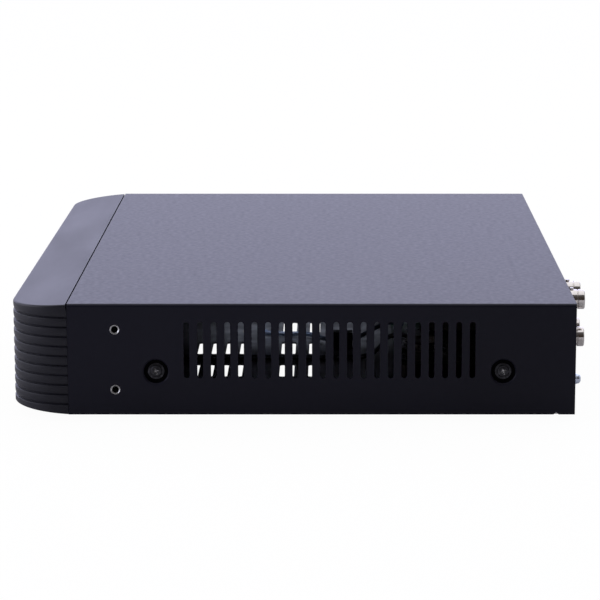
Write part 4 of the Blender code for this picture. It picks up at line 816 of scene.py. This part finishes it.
def cross_recess(middle, axis, reach, slim, depth, material_index):
    """A tapered cross for a driver, as a bmesh to cut with."""
    shape = bmesh.new()
    layers = []
    for height, share in ((0.6 * MM, 1.06), (-depth, 0.45)):
        ring = []
        for i in range(4):
            a = 0.5 * math.pi * i
            along, across = Vector((math.cos(a), math.sin(a), 0)), Vector((-math.sin(a), math.cos(a), 0))
            for x, y in ((reach, -slim), (reach, slim), (slim * 1.35, slim * 1.35)):
                point = (x * along + y * across) * share
                ring.append(shape.verts.new((point.x, point.y, height)))
        layers.append(ring)
    for i in range(12):
        shape.faces.new((layers[0][i - 1], layers[0][i], layers[1][i], layers[1][i - 1]))
    shape.faces.new(layers[0])
    shape.faces.new(layers[1])
    for face in shape.faces:
        face.material_index = material_index
    spin = Matrix.Rotation(math.radians(20), 4, "Z")
    bmesh.ops.transform(shape, matrix=Matrix.Translation(middle) @ TURNS[axis] @ spin, verts=shape.verts)
    return shape


def washer_head_screw(name, node, seat, axis, material, flange, crown, length, tall=1.72):
    """A cross-head screw with a washer face: flange, domed crown, driver recess and threaded shank."""
    head = rounded_profile(
        [
            (0, tall, 0), (crown * 0.55, tall - 0.06, 0), (crown * 0.9, 0.77 * tall, 0), (crown, 0.5 * tall, 0),
            (crown + 0.12, 0.3 * tall, 0), (flange, 0.24 * tall, 0), (flange, 0.02, 0), (1.5, 0.0, 0),
        ],
        0.22,
    )
    thread = []
    turns = int(length / 0.5)
    for i in range(turns):
        thread += [(1.45, -0.5 * i - 0.1, 0), (1.2, -0.5 * i - 0.35, 0)]
    profile = [*head, *thread, (1.2, -length + 0.2, 0), (0.9, -length, 0), (0, -length, 0)]
    body = lathe(profile, seat, axis, 48)
    middle = seat + TURNS[axis] @ Vector((0, 0, (tall - 0.04) * MM))
    recess = cross_recess(middle, axis, 0.66 * crown * MM, 0.38 * MM, 1.0 * MM, 1)
    shape = boolean(body, [("DIFFERENCE", recess)])
    new_piece(name, shape, [material, WORN_STEEL], replaces=[node], sharp=28.0)


def screws():
    seat = DIMPLE_DEPTH - GAP
    for side, inward, axis in (("right", seat, "+X"), ("left", WIDTH - seat, "-X")):
        for end, back in zip(("front", "rear"), SCREW_BACKS):
            node = f"side_screw_{end}_{side}"
            place = at(back, inward, SCREW_UP)
            washer_head_screw(node + "_piece", node, place, axis, SCREW_BLACK, 3.8, 2.75, 3.6)
    washer_head_screw(
        "ground_screw_piece", "ground_screw", at(DEPTH, 8 * MM, 15 * MM), "+Y", ZINC,
        2.7, 2.3, 4.9, 3.1,
    )
    for i in range(4):
        low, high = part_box(f"board_screw_{i + 1}")
        place = Vector(((low.x + high.x) / 2, (low.y + high.y) / 2, high.z - 1.8 * MM))
        washer_head_screw(
            f"board_screw_{i + 1}_piece", f"board_screw_{i + 1}", place, "+Z", ZINC, 2.9, 2.2, 5.0
        )
        refined(f"drive_screw_{i + 1}", ZINC, 0.2 * MM)


def feet():
    """Rubber feet with a rounded rim and a shallow dished sole."""
    for end in ("front", "rear"):
        for side in ("left", "right"):
            low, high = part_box(f"foot_{end}_{side}")
            middle = Vector(((low.x + high.x) / 2, (low.y + high.y) / 2, low.z))
            radius = (high.x - low.x) / 2 / MM
            tall = (high.z - low.z) / MM
            profile = rounded_profile(
                [
                    (0, tall, 0), (radius, tall, 0), (radius, tall - 1.4, 0), (radius - 1.1, 0.0, 0),
                    (radius - 2.4, 0.0, 0), (radius - 3.0, 0.35, 0), (0, 0.4, 0),
                ],
                0.45, 4,
            )
            shape = lathe(profile, middle, "+Z", 64)
            new_piece(f"foot_{end}_{side}_piece", shape, [RUBBER],
                      replaces=[f"foot_{end}_{side}"])


# ---------------------------------------------------------------- rear sockets


def camera_jacks():
    """Nickel bayonet jacks: ring groove, rounded lip, lugs, white insulator and split centre contact."""
    tip = (JACK_HIGH.y - COVER_HIGH.y) / MM
    outer = 4.83
    barrel = rounded_profile(
        [
            (0, tip - 3.0, 2), (0.62, tip - 3.0, 2), (0.95, tip - 3.3, 2), (0.95, tip - 6.0, 2),
            (1.35, tip - 6.0, 1), (2.45, tip - 5.2, 1), (2.45, tip - 8.4, 1), (4.0, tip - 8.4, 0),
            (4.0, tip - 0.5, 0), (4.2, tip, 0), (outer - 0.3, tip, 0), (outer, tip - 0.35, 0),
            (outer, tip - 3.1, 0), (outer - 0.32, tip - 3.25, 0), (outer - 0.32, tip - 3.55, 0),
            (outer, tip - 3.7, 0), (outer, -4.6, 0), (outer - 0.75, -4.9, 0), (outer - 0.75, -18, 0), (0, -18, 0),
        ],
        0.14,
    )
    lug = rounded_profile([(0, 0.85, 0), (1.0, 0.85, 0), (1.0, -0.5, 0), (0, -0.5, 0)], 0.25)
    for column, inward in enumerate((78.8 * MM, 100.2 * MM)):
        for row, up in (("lower", 19.5 * MM), ("upper", 38.0 * MM)):
            node = f"camera_jack_{row}_{column + 1}"
            place = at(DEPTH, inward, up)
            shapes = [lathe(barrel, place, "+Y", 72)]
            for sign, axis in ((1, "+Z"), (-1, "-Z")):
                lug_place = place + Vector((0, (tip - 6.2) * MM, sign * outer * MM))
                shapes.append(lathe(lug, lug_place, axis, 24))
            new_piece(node + "_piece", merged(shapes), [NICKEL, WHITE_PLASTIC, GOLD],
                      replaces=[node], sharp=34.0)
    for i in (1, 2):
        refined(f"jack_housing_{i}", BLACK, 0.3 * MM, name=f"jack_housing_{i}_piece")


def socket_shell(name, node, openings, mouth, way=1):
    """A socket's folded metal shell, open in its face, with a closed block behind its mouth."""
    low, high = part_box(node)
    origin = at(0, 0, 0)
    backs = (low.y - origin.y, high.y - origin.y)
    face, rear = (backs[1], backs[0]) if way > 0 else backs
    inner = face - way * mouth
    inwards = (origin.x - high.x, origin.x - low.x)
    ups = (low.z - origin.z, high.z - origin.z)
    sleeve = flat_solid(
        [rounded_rectangle(inwards, ups, 0.6 * MM), *openings], mouth, facing_rear((face + inner) / 2)
    )
    rounded_edges(sleeve, 0.12 * MM, 2, 60.0)
    block = brick(sorted((rear, inner - way * 0.02 * MM)), inwards, ups, 0.15 * MM)
    for part in block.faces:
        part.material_index = 1
    new_piece(name, merged([sleeve, block]), [NICKEL, BLACK], replaces=[node])


def usb_details(name, node, inward, ups, face, way):
    """A stack of flat sockets: shell, tongues and contacts."""
    mouths = [rounded_rectangle(around(inward, 6.1 * MM), around(up, 2.4 * MM), 0.5 * MM) for up in ups]
    socket_shell(name + "_shell", node, mouths, 10.5 * MM, way)
    for i, up in enumerate(ups):
        tip, root = face + way * -1.1 * MM, face + way * -10.3 * MM
        tongue = brick(sorted((tip, root)), around(inward, 5.5 * MM), (up + 0.15 * MM, up + 1.98 * MM), 0.25 * MM)
        new_piece(f"{name}_tongue_{i + 1}", tongue, [WHITE_PLASTIC])
        strips = []
        for k in range(4):
            middle = inward + (k - 1.5) * 2.3 * MM
            backs = sorted((face - way * 2.0 * MM, face - way * 9.4 * MM))
            strips.append(brick(backs, around(middle, 0.5 * MM), (up - 0.02 * MM, up + 0.12 * MM), 0.04 * MM, 1))
        new_piece(f"{name}_contacts_{i + 1}", merged(strips), [GOLD])


def phono_sockets():
    """The two phono sockets: moulded block, nickel sleeves and coloured centres."""
    low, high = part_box("audio_sockets")
    block = brick((214 * MM, 229.9 * MM), around(124 * MM, 5.2 * MM), (9.4 * MM, 37 * MM), 0.3 * MM)
    new_piece("phono_block", block, [BLACK], replaces=["audio_sockets"])
    tip = (high.y - COVER_HIGH.y) / MM
    for label, up, core in (("lower", 17 * MM, RED_PLASTIC), ("upper", 31 * MM, WHITE_PLASTIC)):
        profile = rounded_profile(
            [
                (0, -4.0, 2), (1.65, -4.0, 2), (1.65, tip - 1.1, 2), (2.1, tip - 0.9, 1), (3.3, tip - 1.5, 1),
                (3.3, tip - 0.25, 0), (3.55, tip, 0), (4.15, tip - 0.1, 0), (4.15, -1.8, 0), (0, -1.8, 0),
            ],
            0.14,
        )
        shape = lathe(profile, at(DEPTH, 124 * MM, up), "+Y", 64)
        new_piece(f"phono_sleeve_{label}", shape, [NICKEL, core, GOLD], sharp=34.0)


def monitor_socket():
    """The analogue monitor socket: D-shaped shell, blue insert with its holes, two threaded posts."""
    low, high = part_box("vga_socket")
    middle, up = 173 * MM, 15.7 * MM
    block = brick((218 * MM, 229.9 * MM), around(middle, 15.4 * MM), (9.4 * MM, 21.8 * MM), 0.3 * MM)
    new_piece("monitor_socket_block", block, [BLACK], replaces=["vga_socket"])

    def d_outline(half_top, half_bottom, half_height, radius=1.7 * MM, steps=6):
        corners = [
            Vector((middle + half_top, up + half_height)), Vector((middle - half_top, up + half_height)),
            Vector((middle - half_bottom, up - half_height)), Vector((middle + half_bottom, up - half_height)),
        ]
        found = []
        for i, corner in enumerate(corners):
            back, ahead = corners[i - 1] - corner, corners[(i + 1) % 4] - corner
            start, end = corner + back.normalized() * radius, corner + ahead.normalized() * radius
            for k in range(steps + 1):
                t = k / steps
                found.append(tuple((1 - t) ** 2 * start + 2 * t * (1 - t) * corner + t * t * end))
        return found

    front = high.y - at(0, 0, 0).y
    shell = flat_solid(
        [d_outline(8.4 * MM, 7.0 * MM, 4.1 * MM), d_outline(8.0 * MM, 6.6 * MM, 3.7 * MM, 1.5 * MM)],
        front - 228.5 * MM, facing_rear((front + 228.5 * MM) / 2),
    )
    rounded_edges(shell, 0.12 * MM, 2)
    new_piece("monitor_socket_shell", shell, [NICKEL])
    holes = []
    for row, count, shift in ((1.95, 5, 0.0), (0.0, 5, 1.1), (-1.95, 5, 0.0)):
        for k in range(count):
            holes.append(circle((middle + ((k - 2) * 2.3 + shift) * MM, up + row * MM), 0.5 * MM, 16))
    insert = flat_solid([d_outline(7.9 * MM, 6.5 * MM, 3.6 * MM, 1.5 * MM), *holes], 4.5 * MM,
                        facing_rear(front - 2.9 * MM))
    rounded_edges(insert, 0.08 * MM, 1)
    new_piece("monitor_socket_insert", insert, [BLUE_PLASTIC])
    for side, offset in (("right", -12.5 * MM), ("left", 12.5 * MM)):
        six = [
            (middle + offset + 2.45 * MM * math.cos(a), up + 2.45 * MM * math.sin(a))
            for a in [math.pi / 3 * i for i in range(6)]
        ]
        post = flat_solid([six, circle((middle + offset, up), 1.35 * MM, 24)], front - 231.6 * MM,
                          facing_rear((front + 231.6 * MM) / 2))
        rounded_edges(post, 0.2 * MM, 2)
        new_piece(f"monitor_socket_post_{side}", post, [NICKEL])


def other_sockets():
    """Digital monitor, network, USB and power sockets, with their contacts and lamps."""
    mouth = [(139.1, 14.6), (139.1, 12.0), (140.9, 10.0), (151.1, 10.0), (152.9, 12.0), (152.9, 14.6)]
    socket_shell("digital_socket_shell", "hdmi_socket", [[(x * MM, z * MM) for x, z in mouth]], 8 * MM)
    tongue = brick((225 * MM, 230.8 * MM), around(146 * MM, 5.1 * MM), (11.95 * MM, 13.45 * MM), 0.15 * MM)
    new_piece("digital_socket_tongue", tongue, [BLACK])
    strips = [
        brick((225.5 * MM, 230.3 * MM), around((141.6 + k) * MM, 0.22 * MM), (13.4 * MM, 13.52 * MM), 0.03 * MM, 1)
        for k in range(10)
    ]
    new_piece("digital_socket_contacts", merged(strips), [GOLD])
    mouth = [(198, 20.6), (198, 13), (200.9, 13), (200.9, 10.8), (207.1, 10.8), (207.1, 13), (210, 13), (210, 20.6)]
    socket_shell("network_socket_shell", "network_socket", [[(x * MM, z * MM) for x, z in mouth]], 13 * MM)
    pins = [
        brick((221 * MM, 229 * MM), around((204 + (k - 3.5) * 1.02) * MM, 0.2 * MM), (20.25 * MM, 20.5 * MM), 0.05 * MM, 1)
        for k in range(8)
    ]
    new_piece("network_contacts", merged(pins), [GOLD])
    for label, inward, material in (("green", 199.2 * MM, GREEN_PLASTIC), ("amber", 208.8 * MM, AMBER_PLASTIC)):
        lamp = brick((230.8 * MM, 232.35 * MM), around(inward, 1.5 * MM), (21.0 * MM, 22.4 * MM), 0.2 * MM)
        new_piece(f"network_lamp_{label}", lamp, [material])
    usb_details("rear_usb", "rear_usb_sockets", 225 * MM, (12.7 * MM, 21.6 * MM), 232.1 * MM, 1)
    block = brick((216 * MM, 229.9 * MM), around(246 * MM, 4.6 * MM), (9.4 * MM, 20.4 * MM), 0.3 * MM)
    new_piece("power_inlet_block", block, [BLACK], replaces=["power_socket"])
    profile = rounded_profile(
        [
            (0, -1.6, 1), (0.5, -1.7, 1), (1.05, -2.1, 1), (1.05, -9.0, 1), (3.15, -9.0, 0),
            (3.15, -0.4, 0), (3.4, 0.0, 0), (4.2, 0.0, 0), (4.2, -4.0, 0), (0, -4.0, 0),
        ],
        0.15,
    )
    shape = lathe(profile, at(DEPTH, 246 * MM, 15.1 * MM), "+Y", 56)
    new_piece("power_inlet_collar", shape, [BLACK, NICKEL], sharp=34.0)


def rocker_switch():
    refined("rocker_housing", BLACK, 0.35 * MM, 3)
    refined("power_rocker", BLACK, 0.5 * MM, 4, body="rocker")


# ---------------------------------------------------------------- inside


def finish_node(node, material):
    """A CAD node that stays as it is and takes a better material."""
    data = NODES[node].data
    data.materials.clear()
    data.materials.append(material)


def inside():
    finish_node("base_chassis", GALVANISED)
    for node in ("front_panel_lead", "drive_data_lead", "drive_power_lead"):
        finish_node(node, SHEATH)
    finish_node("fan_lead", FAN_SHEATH)
    for node in ("lead_clip", "drive_lead_header", "fan_frame"):
        refined(node, BLACK, 0.3 * MM)
    refined("fan_rotor", BLACK, 0.25 * MM, 2, body="fan_rotor")
    refined("main_board", BOARD, 0.1 * MM)
    refined("drive_board", BOARD, 0.1 * MM)
    for node in ("main_processor", "memory_chip_1", "memory_chip_2", "drive_plug"):
        refined(node, EPOXY, 0.15 * MM)
    for node in ("heat_sink", "capacitor", "drive_lid"):
        refined(node, ALUMINIUM, 0.2 * MM)
    refined("clock_cell", NICKEL, 0.15 * MM)
    refined("drive_base", CAST, 0.4 * MM)
    finish_node("head_arm", CAST)
    finish_node("drive_platters", DISK)


# ---------------------------------------------------------------- stage, light, camera


def emission_panel(name, middle, size, facing, colour, strength):
    """A large soft panel that lights the object and isn't seen itself."""
    light = bpy.data.lights.new(name, "AREA")
    light.shape = "RECTANGLE"
    light.size, light.size_y = size
    light.color = colour
    light.energy = strength * math.pi * size[0] * size[1]
    panel = bpy.data.objects.new(name, light)
    bpy.context.scene.collection.objects.link(panel)
    panel.location = middle
    panel.rotation_euler = Vector(facing).to_track_quat("-Z", "Y").to_euler()
    panel.visible_camera = False
    return panel


def floor():
    """A plain white floor with a trace of contact shadow."""
    shape = bmesh.new()
    bmesh.ops.create_grid(shape, x_segments=1, y_segments=1, size=6.0)
    mesh = bpy.data.meshes.new("floor")
    shape.to_mesh(mesh)
    shape.free()
    plane = bpy.data.objects.new("floor", mesh)
    bpy.context.scene.collection.objects.link(plane)
    material = bpy.data.materials.new("floor_white")
    material.use_nodes = True
    nodes, links = material.node_tree.nodes, material.node_tree.links
    nodes.clear()
    out = nodes.new("ShaderNodeOutputMaterial")
    diffuse = nodes.new("ShaderNodeBsdfDiffuse")
    diffuse.inputs["Color"].default_value = (0.62, 0.61, 0.60, 1.0)
    glow = nodes.new("ShaderNodeEmission")
    glow.inputs["Strength"].default_value = 1.03
    mix = nodes.new("ShaderNodeMixShader")
    mix.inputs["Fac"].default_value = 0.06
    seen = nodes.new("ShaderNodeMixShader")
    path = nodes.new("ShaderNodeLightPath")
    links.new(glow.outputs[0], mix.inputs[1])
    links.new(diffuse.outputs[0], mix.inputs[2])
    links.new(path.outputs["Is Camera Ray"], seen.inputs["Fac"])
    links.new(diffuse.outputs[0], seen.inputs[1])
    links.new(mix.outputs[0], seen.inputs[2])
    links.new(seen.outputs[0], out.inputs["Surface"])
    mesh.materials.append(material)


def surroundings():
    """White beyond the floor, and a soft room that is dimmer on the right side of the recorder."""
    world = bpy.data.worlds.new("studio")
    bpy.context.scene.world = world
    world.use_nodes = True
    nodes, links = world.node_tree.nodes, world.node_tree.links
    nodes.clear()
    out = nodes.new("ShaderNodeOutputWorld")
    white = nodes.new("ShaderNodeBackground")
    white.inputs["Color"].default_value = (1, 1, 1, 1)
    room = nodes.new("ShaderNodeBackground")
    where = nodes.new("ShaderNodeTexCoord")
    split = nodes.new("ShaderNodeSeparateXYZ")
    across = nodes.new("ShaderNodeMapRange")
    across.inputs["From Min"].default_value = -0.4
    across.inputs["From Max"].default_value = 0.9
    ramp = nodes.new("ShaderNodeValToRGB")
    ramp.color_ramp.elements[0].color = (0.34, 0.35, 0.38, 1.0)
    ramp.color_ramp.elements[1].color = (0.050, 0.040, 0.036, 1.0)
    mix = nodes.new("ShaderNodeMixShader")
    path = nodes.new("ShaderNodeLightPath")
    links.new(where.outputs["Generated"], split.inputs[0])
    links.new(split.outputs["X"], across.inputs["Value"])
    links.new(across.outputs["Result"], ramp.inputs["Fac"])
    links.new(ramp.outputs["Color"], room.inputs["Color"])
    links.new(path.outputs["Is Camera Ray"], mix.inputs["Fac"])
    links.new(room.outputs[0], mix.inputs[1])
    links.new(white.outputs[0], mix.inputs[2])
    links.new(mix.outputs[0], out.inputs["Surface"])


def lights():
    emission_panel("overhead_softbox", (-0.25, 0.0, 1.7), (2.4, 2.6), (0.12, 0, -1), (0.93, 0.93, 1.0), 0.97)
    emission_panel("backdrop_glow", (-3.0, 0.0, 1.3), (6.0, 2.9), (1, 0, -0.05), (0.70, 0.70, 1.0), 1.62)
    emission_panel("front_fill", (0.1, -1.7, 0.6), (2.2, 1.15), (-0.05, 1, -0.25), (0.86, 0.86, 1.0), 2.2)
    emission_panel("rear_fill", (-0.6, 2.4, 0.9), (1.6, 1.4), (0.2, -1, -0.3), (0.98, 0.98, 1.0), 0.5)
    inside = at(103 * MM, 184 * MM, 47 * MM)
    glow = emission_panel("light_through_the_vents", inside, (0.055, 0.085), (0, 0, -1), (0.80, 0.86, 1.0), 0.9)
    glow.data.spread = math.radians(75)


def camera():
    """A long lens a metre from the right side, a little above, level across, as in a catalogue side view."""
    data = bpy.data.cameras.new("camera")
    data.lens = 145.8
    data.sensor_width = 36.0
    data.shift_x = -0.0525
    data.clip_end = 50.0
    holder = bpy.data.objects.new("camera", data)
    bpy.context.scene.collection.objects.link(holder)
    holder.location = (COVER_HIGH.x + 1.079, COVER_LOW.y + 0.1202, COVER_HIGH.z + 0.2195)
    holder.rotation_euler = (math.radians(90 - 11.4), 0, math.radians(90))
    bpy.context.scene.camera = holder


cover()
bracket_inserts()
bezel()
front_details()
screws()
feet()
camera_jacks()
phono_sockets()
monitor_socket()
other_sockets()
rocker_switch()
inside()
floor()
surroundings()
lights()
camera()
bpy.context.scene.view_settings.view_transform = "Standard"
